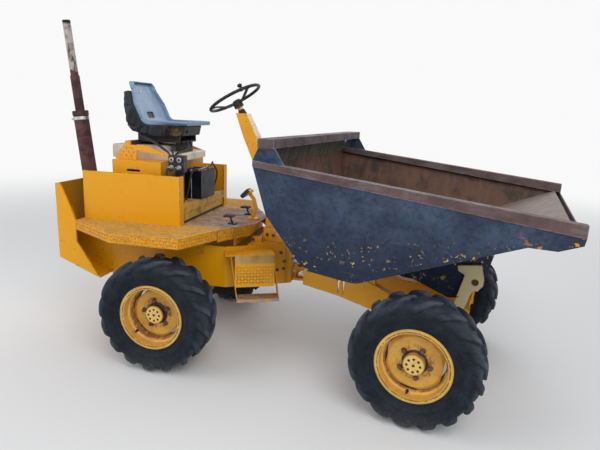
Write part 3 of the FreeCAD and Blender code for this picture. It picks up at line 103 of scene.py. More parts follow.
class DumperColours(bpy.types.PropertyGroup):
    """Colours of the finishes."""
    yellow: colour_prop("Yellow", "Body paint where it is clean", srgb(228, 158, 0))
    yellow_faded: colour_prop("Faded yellow", "Body paint paled by sun and dust", srgb(224, 158, 14))
    deck: colour_prop("Deck", "Dusty paint on the tread plate", srgb(208, 164, 76))
    deck_bare: colour_prop("Bare deck", "Steel where boots have worn the deck", srgb(168, 162, 167))
    rust: colour_prop("Rust", "Rust at edges and chips", srgb(96, 50, 30))
    skip_dark: colour_prop("Skip paint", "Dark paint on the skip's outside", srgb(24, 38, 60))
    skip_dust: colour_prop("Skip dust", "Dusty, paler patches of the skip's outside", srgb(86, 104, 130))
    skip_rust: colour_prop("Skip rust", "Brown of the skip's inside", srgb(100, 74, 64))
    skip_worn: colour_prop("Worn steel", "Pale scoured steel near the lip", srgb(150, 138, 132))
    chip: colour_prop("Chip", "Old paint showing in chips", srgb(222, 180, 96))
    rubber: colour_prop("Rubber", "Tyre rubber", srgb(12, 19, 30))
    rubber_dust: colour_prop("Tyre dust", "Dust held on the tyres", srgb(80, 90, 104))
    wheel: colour_prop("Wheel", "Wheel paint", srgb(218, 168, 72))
    seat: colour_prop("Seat", "Moulded seat pan", srgb(120, 148, 176))
    cream: colour_prop("Cream", "Old paint of the skip's posts and the tank", srgb(214, 196, 150))
    exhaust: colour_prop("Exhaust", "Rusty lower exhaust", srgb(98, 62, 60))


class DumperSizes(bpy.types.PropertyGroup):
    """Sizes of the pieces that are modelled here."""
    lugs: IntProperty(name="Lugs", description="Tread bars on each side of a tyre", default=16, min=8, max=40)
    lug_height: length_prop("Lug height", "Height of a tread bar over the casing", 24)
    lug_width: length_prop("Lug width", "Width of a tread bar round the tyre", 44)
    bar_length: length_prop("Tread bar length", "Length of a raised bar on the tread plate", 23)
    bar_width: length_prop("Tread bar width", "Width of a raised bar on the tread plate", 8.5)
    bar_height: length_prop("Tread bar height", "Height of a raised bar on the tread plate", 2)
    bar_pitch: length_prop("Tread bar pitch", "Spacing of the raised bars", 21)


class DumperStage(bpy.types.PropertyGroup):
    """The camera and the studio."""
    lens: FloatProperty(name="Lens", description="Focal length for a 36 mm wide sensor", default=30.32)
    yaw: FloatProperty(name="Yaw", description="Turn of the view from the machine's left", default=12.40)
    pitch: FloatProperty(name="Pitch", description="Downward tilt of the view", default=12.83)
    roll: FloatProperty(name="Roll", description="Roll of the camera", default=2.28)
    place: FloatVectorProperty(name="Place", description="Camera from the pivot on the ground", subtype="XYZ",
                               unit="LENGTH", default=(0.728, -3.472, 1.695))
    world: FloatProperty(name="World light", description="Strength of the surrounding light", default=0.52)
    key: FloatProperty(name="Key light", description="Power of the soft key light", unit="POWER", default=205)


# Materials

class Value:
    """A socket of a finish, on which arithmetic adds Math nodes."""

    def __init__(self, finish, socket):
        self.finish = finish
        self.socket = socket

    def __add__(self, other):
        return self.finish.math("ADD", self, other)

    def __sub__(self, other):
        return self.finish.math("SUBTRACT", self, other)

    def __rsub__(self, other):
        return self.finish.math("SUBTRACT", other, self)

    def __mul__(self, other):
        return self.finish.math("MULTIPLY", self, other)

    __radd__ = __add__
    __rmul__ = __mul__


class Finish:
    """One material, written as expressions on its sockets."""

    def __init__(self, name):
        self.material = bpy.data.materials.new(name)
        self.material.use_nodes = True
        self.tree = self.material.node_tree
        self.shader = self.tree.nodes["Principled BSDF"]

    @classmethod
    def of_tree(cls, tree):
        """The same tools on a tree that is not a material's."""
        made = cls.__new__(cls)
        made.tree = tree
        return made

    def give(self, target, value):
        """Links a value to a socket, or sets the socket's own number."""
        if isinstance(value, Value):
            self.tree.links.new(value.socket, target)
        else:
            target.default_value = value

    def add(self, kind, settings, inputs, out=0):
        """Adds any node: its settings first, a ramp's stops among them, and then its sockets."""
        node = self.tree.nodes.new(kind)
        for key, value in settings.items():
            if key == "stops":
                ramp = node.color_ramp
                while len(ramp.elements) < len(value):
                    ramp.elements.new(0.5)
                for element, (place, colour) in zip(ramp.elements, value):
                    element.position = place
                    element.color = rgba(colour)
            else:
                setattr(node, key, value)
        for key, value in inputs.items():
            self.give(node.inputs[key], value)
        return Value(self, node.outputs[out])

    def math(self, operation, first, second):
        return self.add("ShaderNodeMath", {"operation": operation}, {0: first, 1: second})

    def limit(self, value):
        return self.add("ShaderNodeMath", {"operation": "ADD", "use_clamp": True}, {0: value, 1: 0.0})

    def step(self, value, low, high):
        """0 below low, 1 above high, smooth between; low may be the larger."""
        return self.add("ShaderNodeMapRange", {"interpolation_type": "SMOOTHSTEP"},
                        {"Value": value, "From Min": low, "From Max": high})

    def coords(self, output, turn=0.0, scale=(1, 1, 1), shift=(0, 0, 0)):
        """Object coordinates or normals, turned about Z, scaled and shifted."""
        raw = self.add("ShaderNodeTexCoord", {}, {}, output)
        return self.add("ShaderNodeMapping", {}, {"Vector": raw, "Location": shift, "Rotation": (0, 0, turn),
                                                  "Scale": scale})

    def axis(self, vector, name):
        return self.add("ShaderNodeSeparateXYZ", {}, {0: vector}, name)

    def noise(self, vector, scale, detail=4, rough=0.55):
        return self.add("ShaderNodeTexNoise", {}, {"Vector": vector, "Scale": scale, "Detail": detail,
                                                   "Roughness": rough})

    def spots(self, vector, low, high, scale, detail=4, rough=0.55):
        """Noise made into patches: 0 where it is below low, 1 above high."""
        return self.step(self.noise(vector, scale, detail, rough), low, high)

    def mix(self, factor, first, second):
        node = self.tree.nodes.new("ShaderNodeMix")
        node.data_type = "RGBA"
        self.give(node.inputs["Factor"], factor)
        for key, colour in ((6, first), (7, second)):
            self.give(node.inputs[key], colour if isinstance(colour, Value) else rgba(colour))
        return Value(self, node.outputs[2])

    def band(self, value, middle, half):
        """1 within half of the middle, falling to 0 at twice that."""
        return self.step(self.math("ABSOLUTE", value - middle, 0.0), 2 * half, half)

    def length(self, *sides):
        """Length of the sides taken at right angles."""
        return self.math("SQRT", sum(side * side for side in sides), 0.0)

    def seen_rays(self):
        """1 for what the camera sees by itself, in a mirror or through glass."""
        rays = [self.add("ShaderNodeLightPath", {}, {}, kind)
                for kind in ("Is Camera Ray", "Is Glossy Ray", "Is Transmission Ray")]
        return self.limit(sum(rays))

    def edges(self, radius, low=0.97, high=0.80):
        """1 on outer and inner edges closer than the radius, 0 on flats."""
        soft = self.add("ShaderNodeBevel", {"samples": 4}, {"Radius": radius})
        true = self.add("ShaderNodeNewGeometry", {}, {}, "Normal")
        along = self.add("ShaderNodeVectorMath", {"operation": "DOT_PRODUCT"}, {0: soft, 1: true}, "Value")
        return self.step(along, low, high)

    def bump(self, height, depth):
        return self.add("ShaderNodeBump", {}, {"Height": height, "Distance": depth, "Strength": 1.0})

    def done(self, **sockets):
        """Gives the shader its sockets; underscores stand for spaces."""
        for key, value in sockets.items():
            target = self.shader.inputs[key.replace("_", " ")]
            self.give(target, rgba(value) if isinstance(value, tuple) and len(value) == 3 else value)
        return self.material


def worn_paint(name, c, clean, faded, rust_share=0.5, turn=0.0, inner_shade=0.0):
    """Old body paint: paler blotches, downward streaks, rust at the edges and in small chips.

    With the last argument, the insides of the rear half's side plates and guard are darkened as painted
    shade, mottled by the grime spots.
    """
    f = Finish(name)
    p = f.coords("Object", turn)
    streaky = f.coords("Object", turn, scale=(1, 1, 0.12))
    blotch = f.spots(p, 0.40, 0.66, 2.4, 5)
    streak = f.spots(streaky, 0.52, 0.74, 26, 3)
    grime = f.spots(p, 0.56, 0.78, 7, 6, 0.7)
    chips = f.spots(p, 0.70, 0.73, 62, 2, 0.5) * f.spots(p, 0.50, 0.62, 5, 2)
    ragged = f.noise(p, 22, 4, 0.7)
    edge = f.edges(0.007) * f.step(ragged, 0.62 - 0.3 * rust_share, 0.70 - 0.3 * rust_share)
    rusty = f.limit(chips + edge)
    colour = f.mix(blotch * 0.55, clean, faded)
    colour = f.mix(streak * 0.22, colour, faded)
    colour = f.mix(grime * 0.35, colour, tuple(0.55 * v + 0.03 for v in clean))
    if inner_shade:
        across, normal_across = (f.axis(f.coords(kind, turn), "Y") for kind in ("Object", "Normal"))
        inward = f.step(normal_across * f.math("SIGN", across, 0.0), -0.30, -0.50)
        along = f.axis(p, "X") - PIVOT.x
        plates = inward * f.step(along, -0.06, -0.12)
        guard = f.step(f.axis(f.coords("Normal", turn), "X"), 0.55, 0.75) * f.step(along, -1.58, -1.62)
        inward = f.limit(plates + guard)
        # painted shade: faces looking into the machine, and the guard's forward face, darkened towards dark
        # brown
        colour = f.mix(inward * (0.55 + grime * 0.45) * inner_shade, colour, srgb(58, 46, 26))
    colour = f.mix(rusty, colour, c.rust)
    normal = f.bump(f.noise(p, 220, 2) * 0.25 - rusty * 0.6, 0.0006)
    return f.done(Base_Color=colour, Roughness=0.38 + grime * 0.2 + rusty * 0.4, Normal=normal,
                  Specular_IOR_Level=0.4)


def deck_paint(name, c, bare):
    """Tread plate: dusty paint speckled with brown; bare is 1 for the foot plate, worn to grey steel."""
    f = Finish(name)
    p = f.coords("Object", shift=-PIVOT)
    up = f.step(f.axis(f.coords("Normal"), "Z"), 0.5, 0.8)
    dust = f.spots(p, 0.35, 0.65, 3.2, 5)
    dark = f.spots(p, 0.52, 0.70, 14, 6, 0.75)
    speck = f.spots(p, 0.47, 0.62, 85, 3, 0.7)
    edge = f.edges(0.009) * f.spots(p, 0.38, 0.52, 30, 4, 0.7)
    colour = f.mix(up, c.yellow, c.deck)
    colour = f.mix(dust * 0.35, colour, c.yellow_faded)
    colour = f.mix(dark * 0.40, colour, srgb(146, 100, 40))
    colour = f.mix(speck * (0.60 - up * 0.32), colour, srgb(128, 74, 22))
    scuff = f.spots(p, 0.59, 0.66, 8, 5, 0.7) * up * (0.35 + 0.65 * bare)
    if bare:
        steel = f.mix(f.spots(p, 0.4, 0.6, 9, 4), c.deck_bare, srgb(122, 112, 112))
        colour = f.mix(up * f.spots(p, 0.67, 0.50, 10, 6, 0.75) * 0.92, colour, steel)
    colour = f.mix(scuff * 0.8, colour, srgb(50, 36, 30))
    colour = f.mix(edge * 0.9, colour, srgb(104, 70, 62))
    normal = f.bump(f.noise(p, 150, 3), 0.0008)
    return f.done(Base_Color=colour, Roughness=0.62 + dark * 0.2, Normal=normal)


def skip_paint(name, c):
    """The skip: mottled dark paint outside with chips, rust brown and scoured steel inside."""
    f = Finish(name)
    p = f.coords("Object", -PARKED_TURN)
    n = f.coords("Normal", -PARKED_TURN)
    x = f.axis(p, "X")
    z = f.axis(p, "Z")
    inside = f.step(f.axis(n, "Z"), 0.04, 0.10)
    # the paler patches fade out low down, so the outside is paler towards the top
    cloud = (0.25 + f.spots(p, 0.40, 0.64, 2.6, 6, 0.62) * 0.75) * f.step(z, 0.72, 1.30)
    mottle = f.spots(p, 0.46, 0.62, 34, 5, 0.75)
    scuff = f.spots(f.coords("Object", -PARKED_TURN, scale=(0.25, 1, 2.2)), 0.57, 0.70, 9, 5, 0.7)
    low = f.step(z - 0.12 * x, 1.00, 0.80)
    chips = f.spots(p, 0.635, 0.655, 55, 2, 0.5) * f.spots(p, 0.44, 0.56, 7, 3) * low
    lip = f.step(x, 1.33, 1.50)
    flakes = f.spots(p, 0.58, 0.61, 22, 3, 0.6) * lip * f.spots(p, 0.42, 0.50, 6, 2)
    edge = f.edges(0.008) * f.spots(p, 0.45, 0.60, 24, 4, 0.7)
    dark = c.skip_dark
    outer = f.mix(cloud * 0.6, dark, c.skip_dust)
    outer = f.mix(mottle * 0.42, outer, tuple(0.40 * v for v in dark))
    outer = f.mix(scuff * 0.28, outer, srgb(92, 92, 100))
    outer = f.mix(edge * 0.7, outer, srgb(84, 58, 48))
    outer = f.mix(chips, outer, c.chip)
    outer = f.mix(flakes, outer, srgb(226, 146, 30))
    streak = f.spots(f.coords("Object", -PARKED_TURN, scale=(1, 1, 0.10)), 0.42, 0.66, 22, 5, 0.7)
    patch = f.spots(p, 0.44, 0.62, 3.4, 6, 0.7)
    floor = f.step(f.axis(n, "Z"), 0.70, 0.85)
    scour = floor * f.step(x, 0.75, 1.45)
    inner = f.mix(patch, c.skip_rust, srgb(66, 56, 54))
    inner = f.mix(streak * 0.45, inner, srgb(128, 92, 66))
    orange = f.spots(p, 0.62, 0.72, 11, 4, 0.7)
    inner = f.mix(orange * 0.5, inner, srgb(156, 92, 44))
    pale = f.spots(p, 0.34, 0.66, 16, 6, 0.7)
    inner = f.mix(scour * (0.55 + pale * 0.4), inner, c.skip_worn)
    colour = f.mix(inside, outer, inner)
    rough = 0.46 + inside * 0.26 + mottle * 0.08
    wave = f.noise(p, 2.2, 2) * 6.0
    normal = f.bump(wave + f.noise(p, 60, 5, 0.7) * 0.35 - f.limit(chips + flakes) * 0.3, 0.0014)
    return f.done(Base_Color=colour, Roughness=rough, Normal=normal, Specular_IOR_Level=0.3)


def rusty_steel(name, base, pale, turn=0.0):
    """Bare steel gone brown, rubbed paler on its edges."""
    f = Finish(name)
    p = f.coords("Object", turn)
    patch = f.spots(p, 0.40, 0.62, 5, 6, 0.7)
    long_mark = f.spots(f.coords("Object", turn, scale=(0.2, 1, 1)), 0.48, 0.64, 24, 4, 0.7)
    edge = f.edges(0.010) * f.spots(p, 0.35, 0.55, 18, 3)
    colour = f.mix(patch * 0.7, base, tuple(0.5 * v for v in base))
    colour = f.mix(long_mark * 0.4, colour, tuple(0.6 * v for v in pale))
    colour = f.mix(edge * 0.75, colour, pale)
    normal = f.bump(f.noise(p, 80, 5, 0.75), 0.0012)
    return f.done(Base_Color=colour, Roughness=0.60 + patch * 0.15, Metallic=edge * 0.4, Normal=normal)


def headboard_finish(name, c):
    """Rusty top rail, dark painted ears, and a scoured olive-grey face towards the load."""
    f = Finish(name)
    p = f.coords("Object", -PARKED_TURN)
    n = f.coords("Normal", -PARKED_TURN)
    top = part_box("skip_headboard")[1].z
    rail = f.step(f.axis(p, "Z"), top - 0.062, top - 0.058)
    sideways = f.step(f.math("ABSOLUTE", f.axis(n, "Y"), 0.0), 0.55, 0.75)
    ahead = f.step(f.axis(n, "X"), 0.45, 0.65)
    patch = f.spots(p, 0.40, 0.62, 5, 6, 0.7)
    streak = f.spots(f.coords("Object", -PARKED_TURN, scale=(1, 1, 0.12)), 0.42, 0.66, 26, 5, 0.7)
    edge = f.edges(0.008) * f.spots(p, 0.38, 0.56, 18, 3)
    colour = f.mix(patch * 0.6, srgb(96, 80, 84), srgb(58, 48, 52))
    dark = f.mix(patch * 0.5, c.skip_dark, c.skip_dust)
    face = f.mix(streak * 0.7, srgb(88, 88, 76), srgb(132, 130, 116))
    below = f.mix(ahead, f.mix(sideways, c.skip_dark, dark), face)
    colour = f.mix(rail, below, colour)
    colour = f.mix(edge * 0.7, colour, srgb(150, 142, 148))
    normal = f.bump(f.noise(p, 80, 5, 0.75), 0.0012)
    return f.done(Base_Color=colour, Roughness=0.60 + patch * 0.15, Normal=normal, Specular_IOR_Level=0.3)


def wheel_coords(f, end, side):
    """Object coordinates about one wheel's centre, square to its axle."""
    low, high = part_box("wheel_%s_%s" % (end, side))
    turn = PARKED_TURN if end == "front" else 0.0
    return f.coords("Object", -turn, shift=-(Matrix.Rotation(-turn, 3, "Z") @ ((low + high) / 2)))


def rubber_finish(name, c, end, side):
    """Tyre rubber: dark sidewalls with a few moulded rings, dust on the bars and held low down."""
    f = Finish(name)
    p = wheel_coords(f, end, side)
    x, z = (f.axis(p, key) for key in "XZ")
    r = f.length(x, z)
    dust = f.spots(p, 0.42, 0.70, 9, 6, 0.7)
    fine = f.spots(p, 0.42, 0.70, 70, 4, 0.7)
    bars = f.step(r, 0.318, 0.350)
    tops = f.step(r, 0.362, 0.374)
    low = f.step(z, -0.20, -0.37)
    ring = f.limit(f.band(r, 0.262, 0.0012) + f.band(r, 0.276, 0.0012) + f.band(r, 0.240, 0.002))
    colour = f.mix(dust * 0.16 + fine * 0.08, c.rubber, c.rubber_dust)
    colour = f.mix(bars * (0.22 + dust * 0.30), colour, c.rubber_dust)
    colour = f.mix(tops * 0.30, colour, srgb(112, 114, 118))
    colour = f.mix(low * (0.15 + fine * 0.2), colour, srgb(112, 108, 104))
    normal = f.bump(f.noise(p, 110, 4, 0.7) + f.noise(p, 18, 3) * 1.5 + ring * 1.4, 0.0013)
    return f.done(Base_Color=colour, Roughness=0.62 + dust * 0.2, Normal=normal, Specular_IOR_Level=0.22)


def plain_finish(name, base, second, rough=0.5, metal=0.0, scale=12.0, shine=0.5):
    """A blotched single colour for plastic, steel and cast pieces."""
    f = Finish(name)
    p = f.coords("Object")
    patch = f.spots(p, 0.40, 0.66, scale, 5, 0.65)
    colour = f.mix(patch * 0.7, base, second)
    colour = f.mix(f.edges(0.004) * 0.25, colour, tuple(0.6 * v + 0.12 for v in base))
    normal = f.bump(f.noise(p, 140, 3), 0.0005)
    return f.done(Base_Color=colour, Roughness=rough + patch * 0.12, Metallic=metal, Normal=normal,
                  Specular_IOR_Level=shine)


def exhaust_finish(name, c):
    """Dark rust, with a scorched pale length at the top and soot round its mouth."""
    f = Finish(name)
    p = f.coords("Object")
    z = f.axis(p, "Z")
    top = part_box("exhaust")[1].z
    pale_part = f.step(z + (f.noise(p, 30, 4) - 0.5) * 0.06, top - 0.335, top - 0.325)
    flaked = f.spots(f.coords("Object", scale=(1, 1, 0.25)), 0.56, 0.62, 26, 5, 0.7)
    colour = f.mix(f.spots(p, 0.4, 0.6, 12, 6, 0.7), c.exhaust, srgb(58, 40, 42))
    pale = f.mix(f.spots(p, 0.42, 0.62, 30, 4), srgb(178, 172, 168), srgb(142, 132, 128))
    pale = f.mix(flaked, pale, srgb(84, 68, 66))
    colour = f.mix(pale_part, colour, pale)
    colour = f.mix(f.step(z, top - 0.030, top - 0.018), colour, srgb(28, 26, 26))
    normal = f.bump(f.noise(p, 90, 5, 0.7), 0.0012)
    return f.done(Base_Color=colour, Roughness=0.78, Normal=normal, Specular_IOR_Level=0.3)


def wheel_paint(name, c, end, side):
    """Wheel paint with rust in the rim's folds and round the studs, and painted shade as a dark ring round
    the hub.
    """
    f = Finish(name)
    p = wheel_coords(f, end, side)
    x, y, z = (f.axis(p, key) for key in "XYZ")
    r = f.length(x, z)
    hub_out = f.step(f.math("ABSOLUTE", y, 0.0), 0.045, 0.052)
    blotch = f.spots(p, 0.42, 0.64, 9, 5, 0.6)
    speck = f.spots(p, 0.62, 0.67, 75, 3, 0.6)
    ragged = f.noise(p, 34, 5, 0.75)
    folds = f.limit(f.band(r, 0.1705, 0.0035) + f.band(r, 0.1955, 0.0028) + f.band(r, 0.208, 0.0015) * 0.5)
    folds = folds * f.step(ragged, 0.36, 0.52)
    studs = f.band(r, 0.086, 0.012) * f.step(ragged, 0.47, 0.60)
    # painted shade: a dark ring round the hub's barrel, weaker out past the hub's face
    barrel = f.band(r, 0.064, 0.0055) * (1 - hub_out * 0.6)
    grime = f.spots(p, 0.50, 0.72, 17, 6, 0.7)
    colour = f.mix(blotch * 0.6, c.wheel, srgb(194, 138, 52))
    colour = f.mix(f.step(r, 0.060, 0.050) * 0.65, colour, srgb(228, 196, 116))
    colour = f.mix(f.step(r, 0.188, 0.200) * 0.45, colour, srgb(230, 196, 96))
    colour = f.mix(grime * 0.30, colour, srgb(150, 92, 44))
    colour = f.mix(f.limit(folds * 0.85 + studs * 0.7 + speck * 0.35), colour, srgb(112, 62, 40))
    colour = f.mix(barrel, colour, srgb(58, 38, 34))
    normal = f.bump(ragged * 0.6 + f.noise(p, 160, 2) * 0.2 - speck * 0.3, 0.0009)
    return f.done(Base_Color=colour, Roughness=0.50 + grime * 0.2 + folds * 0.2, Normal=normal)


def riser_paint(name, c, bars):
    """The steps' paint, rubbed pale in a strip; the riser's bars are brown, darkest where boots kick."""
    f = Finish(name)
    p = f.coords("Object", shift=-PIVOT)
    x, y, z = (f.axis(p, key) for key in "XYZ")
    dirt = f.spots(p, 0.46, 0.70, 12, 6, 0.7)
    low = f.step(z, 0.478, 0.450)
    strip = f.step(z, 0.688, 0.696) * f.step(z, 0.745, 0.738)
    edge = f.edges(0.006) * f.spots(p, 0.42, 0.58, 24, 4, 0.7)
    colour = f.mix(dirt * 0.5, c.yellow, srgb(206, 140, 30))
    colour = f.mix(strip * 0.75, colour, f.mix(dirt, srgb(158, 134, 84), srgb(126, 108, 78)))
    colour = f.mix(low * f.spots(p, 0.35, 0.55, 20, 4), colour, srgb(160, 142, 130))
    if bars:
        wide = f.math("ABSOLUTE", y, 0.0)
        from_kick = f.length((x + 0.262) * 0.75, z - 0.560, (wide - 0.412) * 0.6)
        kicked = f.step(from_kick + (f.noise(p, 28, 4, 0.7) - 0.5) * 0.12, 0.100, 0.040)
        colour = f.mix(0.42 + kicked * 0.58, colour, srgb(56, 32, 14))
    colour = f.mix(edge * 0.6, colour, c.rust)
    normal = f.bump(f.noise(p, 170, 3), 0.0006)
    return f.done(Base_Color=colour, Roughness=0.52 + dirt * 0.2, Normal=normal)


def frame_under_seat(name, c):
    """Yellow brackets outside, dark rails and post between them."""
    f = Finish(name)
    p = f.coords("Object", shift=-PIVOT)
    wide = f.math("ABSOLUTE", f.axis(p, "Y"), 0.0)
    within = f.step(wide, 0.272, 0.266)
    blotch = f.spots(p, 0.42, 0.66, 7, 5)
    speck = f.spots(p, 0.60, 0.66, 60, 3, 0.6)
    edge = f.edges(0.005) * f.spots(p, 0.40, 0.58, 22, 4, 0.7)
    colour = f.mix(blotch * 0.5, c.yellow, c.yellow_faded)
    colour = f.mix(f.limit(edge * 0.7 + speck * 0.5), colour, c.rust)
    colour = f.mix(within, colour, f.mix(blotch, srgb(30, 28, 30), srgb(62, 52, 48)))
    normal = f.bump(f.noise(p, 180, 3), 0.0006)
    return f.done(Base_Color=colour, Roughness=0.48 + within * 0.15, Normal=normal)


def torn_vinyl(name):
    """Black cover, creased, with paler patches of painted sheen, torn through to olive foam at the front of
    each side.
    """
    f = Finish(name)
    p = f.coords("Object", shift=-PIVOT)
    x, y, z = (f.axis(p, key) for key in "XYZ")
    ragged = f.noise(p, 30, 6, 0.7)
    side = f.step(f.math("ABSOLUTE", y, 0.0), 0.185, 0.200)
    lining = f.length((x + 0.915) * 0.60, z - 1.512) + (ragged - 0.5) * 0.09
    foam = f.length((x + 0.890) * 0.80, z - 1.506) + (f.noise(p, 44, 5, 0.7) - 0.5) * 0.05
    torn = f.step(lining, 0.068, 0.060) * side
    shown = f.step(foam, 0.031, 0.026) * side
    # painted sheen: paler blue patches in the cover's colour
    sheen = f.spots(p, 0.42, 0.68, 6, 4, 0.6)
    colour = f.mix(sheen * 0.7, srgb(9, 12, 20), srgb(34, 43, 60))
    colour = f.mix(torn, colour, f.mix(f.step(ragged, 0.42, 0.58), srgb(14, 12, 12), srgb(52, 42, 32)))
    colour = f.mix(shown, colour, f.mix(f.step(ragged, 0.36, 0.62), srgb(108, 88, 52), srgb(66, 54, 34)))
    crease = f.noise(f.coords("Object", scale=(1, 1, 0.35)), 48, 4, 0.6)
    normal = f.bump(crease * 0.7 + f.noise(p, 320, 2) * 0.25 - torn * 1.6 + torn * ragged * 3.0, 0.0016)
    return f.done(Base_Color=colour, Roughness=0.42 + torn * 0.45 + sheen * 0.1, Normal=normal,
                  Specular_IOR_Level=0.3)


def shelf_finish(name, c):
    """Dusty painted shelf, stained by the battery, with the dark joint of its lower board."""
    f = Finish(name)
    p = f.coords("Object")
    low, high = (corner.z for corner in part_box("battery_shelf"))
    stain = f.spots(p, 0.50, 0.66, 8, 6, 0.72)
    dust = f.spots(p, 0.40, 0.62, 26, 4, 0.7)
    joint_line = f.band(f.axis(p, "Z"), low + 0.55 * (high - low), 0.006)
    edge = f.edges(0.006) * f.spots(p, 0.42, 0.58, 22, 4, 0.7)
    colour = f.mix(dust * 0.6, c.deck, srgb(176, 132, 60))
    colour = f.mix(stain * 0.75, colour, srgb(92, 62, 40))
    colour = f.mix(edge * 0.7, colour, c.rust)
    colour = f.mix(joint_line, colour, srgb(16, 13, 12))
    normal = f.bump(f.noise(p, 120, 3), 0.0006)
    return f.done(Base_Color=colour, Roughness=0.62 + stain * 0.15, Normal=normal)


def pan_finish(name, c):
    """Blue-grey moulding, rubbed paler along its rim and dusty in patches."""
    f = Finish(name)
    p = f.coords("Object")
    patch = f.spots(p, 0.40, 0.66, 5, 5, 0.6)
    scratch = f.spots(f.coords("Object", scale=(0.3, 1, 1)), 0.60, 0.70, 60, 3, 0.6)
    rim = f.edges(0.006)
    colour = f.mix(patch * 0.6, c.seat, srgb(118, 140, 164))
    colour = f.mix(rim * 0.6, colour, srgb(172, 186, 196))
    colour = f.mix(scratch * 0.25, colour, srgb(180, 192, 204))
    normal = f.bump(f.noise(p, 260, 2) + scratch * 0.3, 0.0004)
    return f.done(Base_Color=colour, Roughness=0.44 + patch * 0.12, Normal=normal)


def column_paint(name, c):
    """Body yellow, cream with streaks on the faces that look forward."""
    f = Finish(name)
    p = f.coords("Object")
    n = f.coords("Normal")
    ahead = f.step(f.axis(n, "X"), 0.45, 0.70)
    streak = f.spots(f.coords("Object", scale=(1, 1, 0.2)), 0.42, 0.64, 24, 4, 0.7)
    blotch = f.spots(p, 0.42, 0.66, 6, 5)
    spot = f.spots(p, 0.64, 0.68, 46, 3, 0.6)
    edge = f.edges(0.006) * f.spots(p, 0.45, 0.58, 22, 4, 0.7)
    colour = f.mix(blotch * 0.5, c.yellow, srgb(214, 140, 8))
    colour = f.mix(ahead * (0.7 + streak * 0.3), colour, srgb(226, 212, 168))
    colour = f.mix(f.limit(spot * 0.7 + edge * 0.7), colour, c.rust)
    normal = f.bump(f.noise(p, 200, 2) * 0.3 - spot * 0.4, 0.0006)
    return f.done(Base_Color=colour, Roughness=0.40 + streak * 0.15, Normal=normal)


MATERIALS = {}


def make_materials(c):
    """All the finishes, by name."""
    MATERIALS.update({
        "yellow": worn_paint("body yellow", c, c.yellow, c.yellow_faded),
        "yellow_front": worn_paint("front yellow", c, c.yellow, c.yellow_faded, 0.6, -PARKED_TURN),
        # body yellow with painted shade on the insides of the rear half's plates and guard
        "yellow_grimy": worn_paint("body yellow, grimy inside", c, c.yellow, c.yellow_faded, inner_shade=0.9),
        "deck": deck_paint("tread plate", c, 0.0),
        "foot_plate": deck_paint("worn foot plate", c, 1.0),
        "skip": skip_paint("skip paint", c),
        "rim": rusty_steel("rim rust", srgb(92, 70, 70), srgb(148, 138, 140), -PARKED_TURN),
        "headboard": headboard_finish("headboard", c),
        "riser": riser_paint("step bars", c, True),
        "step": riser_paint("step", c, False),
        "seat_frame": frame_under_seat("seat frame", c),
        "column": column_paint("column yellow", c),
        "rusty": rusty_steel("rusty iron", srgb(92, 58, 42), srgb(150, 112, 84)),
        "grease": plain_finish("old grease", srgb(48, 34, 30), srgb(28, 22, 22), 0.5, scale=30),
        "hose": plain_finish("hose rubber", srgb(26, 27, 31), srgb(46, 46, 50), 0.55, scale=20),
        "zinc": plain_finish("zinc fittings", srgb(186, 188, 190), srgb(128, 126, 122), 0.32, 0.9, scale=30),
        "cream": worn_paint("old cream", c, c.cream, srgb(226, 214, 180), 0.8, -PARKED_TURN),
        "axle": worn_paint("axle yellow", c, srgb(150, 104, 40), srgb(104, 84, 60), 1.0),
        "black": plain_finish("black plastic", srgb(18, 19, 24), srgb(34, 35, 42), 0.45, shine=0.35),
        "battery": plain_finish("battery case", srgb(4, 8, 20), srgb(12, 22, 38), 0.40, shine=0.25),
        "seat": pan_finish("seat pan", c),
        "vinyl": torn_vinyl("seat cover"),
        "tank": plain_finish("tank", srgb(228, 218, 200), srgb(186, 170, 146), 0.5, scale=6),
        "steel": plain_finish("greasy steel", srgb(150, 148, 144), srgb(70, 60, 52), 0.35, 0.85),
        "chrome": plain_finish("ram chrome", srgb(190, 190, 192), srgb(150, 150, 156), 0.14, 1.0),
        "valve": plain_finish("valve casting", srgb(56, 50, 52), srgb(28, 25, 27), 0.42, 0.2, scale=24),
        "engine": plain_finish("engine", srgb(58, 56, 54), srgb(34, 30, 28), 0.6),
        "shelf": shelf_finish("battery shelf", c),
        "exhaust": exhaust_finish("exhaust", c),
    })
    for end in ("front", "rear"):
        for side in ("right", "left"):
            names = "%s_%s" % (end, side), "%s %s" % (end, side)
            MATERIALS["wheel_" + names[0]] = wheel_paint("wheel paint " + names[1], c, end, side)
            MATERIALS["tyre_" + names[0]] = rubber_finish("rubber " + names[1], c, end, side)


NODE_FINISH = {
    # the rear chassis and guard carry painted shade on their insides
    "rear_chassis": "yellow_grimy", "rear_guard": "yellow_grimy",
    "side_panel_right": "yellow", "side_panel_left": "yellow", "engine_cover": "yellow",
    "seat_frame": "seat_frame", "tow_bracket": "yellow", "steering_column": "column",
    "brake_pedal": "yellow", "step_right": "step", "step_left": "step",
    "deck_right": "deck", "deck_left": "deck", "footplate": "foot_plate",
    "front_chassis": "yellow_front", "skip_posts": "cream",
    "skip_tub": "skip", "skip_nose": "skip", "skip_underframe": "skip",
    "skip_rims": "rim", "skip_headboard": "headboard",
    "rear_axle": "axle", "front_axle": "axle",
    "engine_block": "engine", "fuel_tank": "tank", "exhaust": "exhaust", "battery": "battery",
    "battery_shelf": "shelf", "valve_block": "valve", "pivot_pin": "steel",
    "seat_shell": "vinyl", "seat_pan": "seat", "steering_wheel": "black", "foot_pedals": "black",
    "tip_ram_barrel": "yellow_front", "steer_ram_barrel": "yellow",
    "tip_ram_rod": "chrome", "steer_ram_rod": "chrome",
}


def coat(piece, finish):
    """One finish all over a piece."""
    piece.data.materials.clear()
    piece.data.materials.append(MATERIALS[finish])


# Modelling

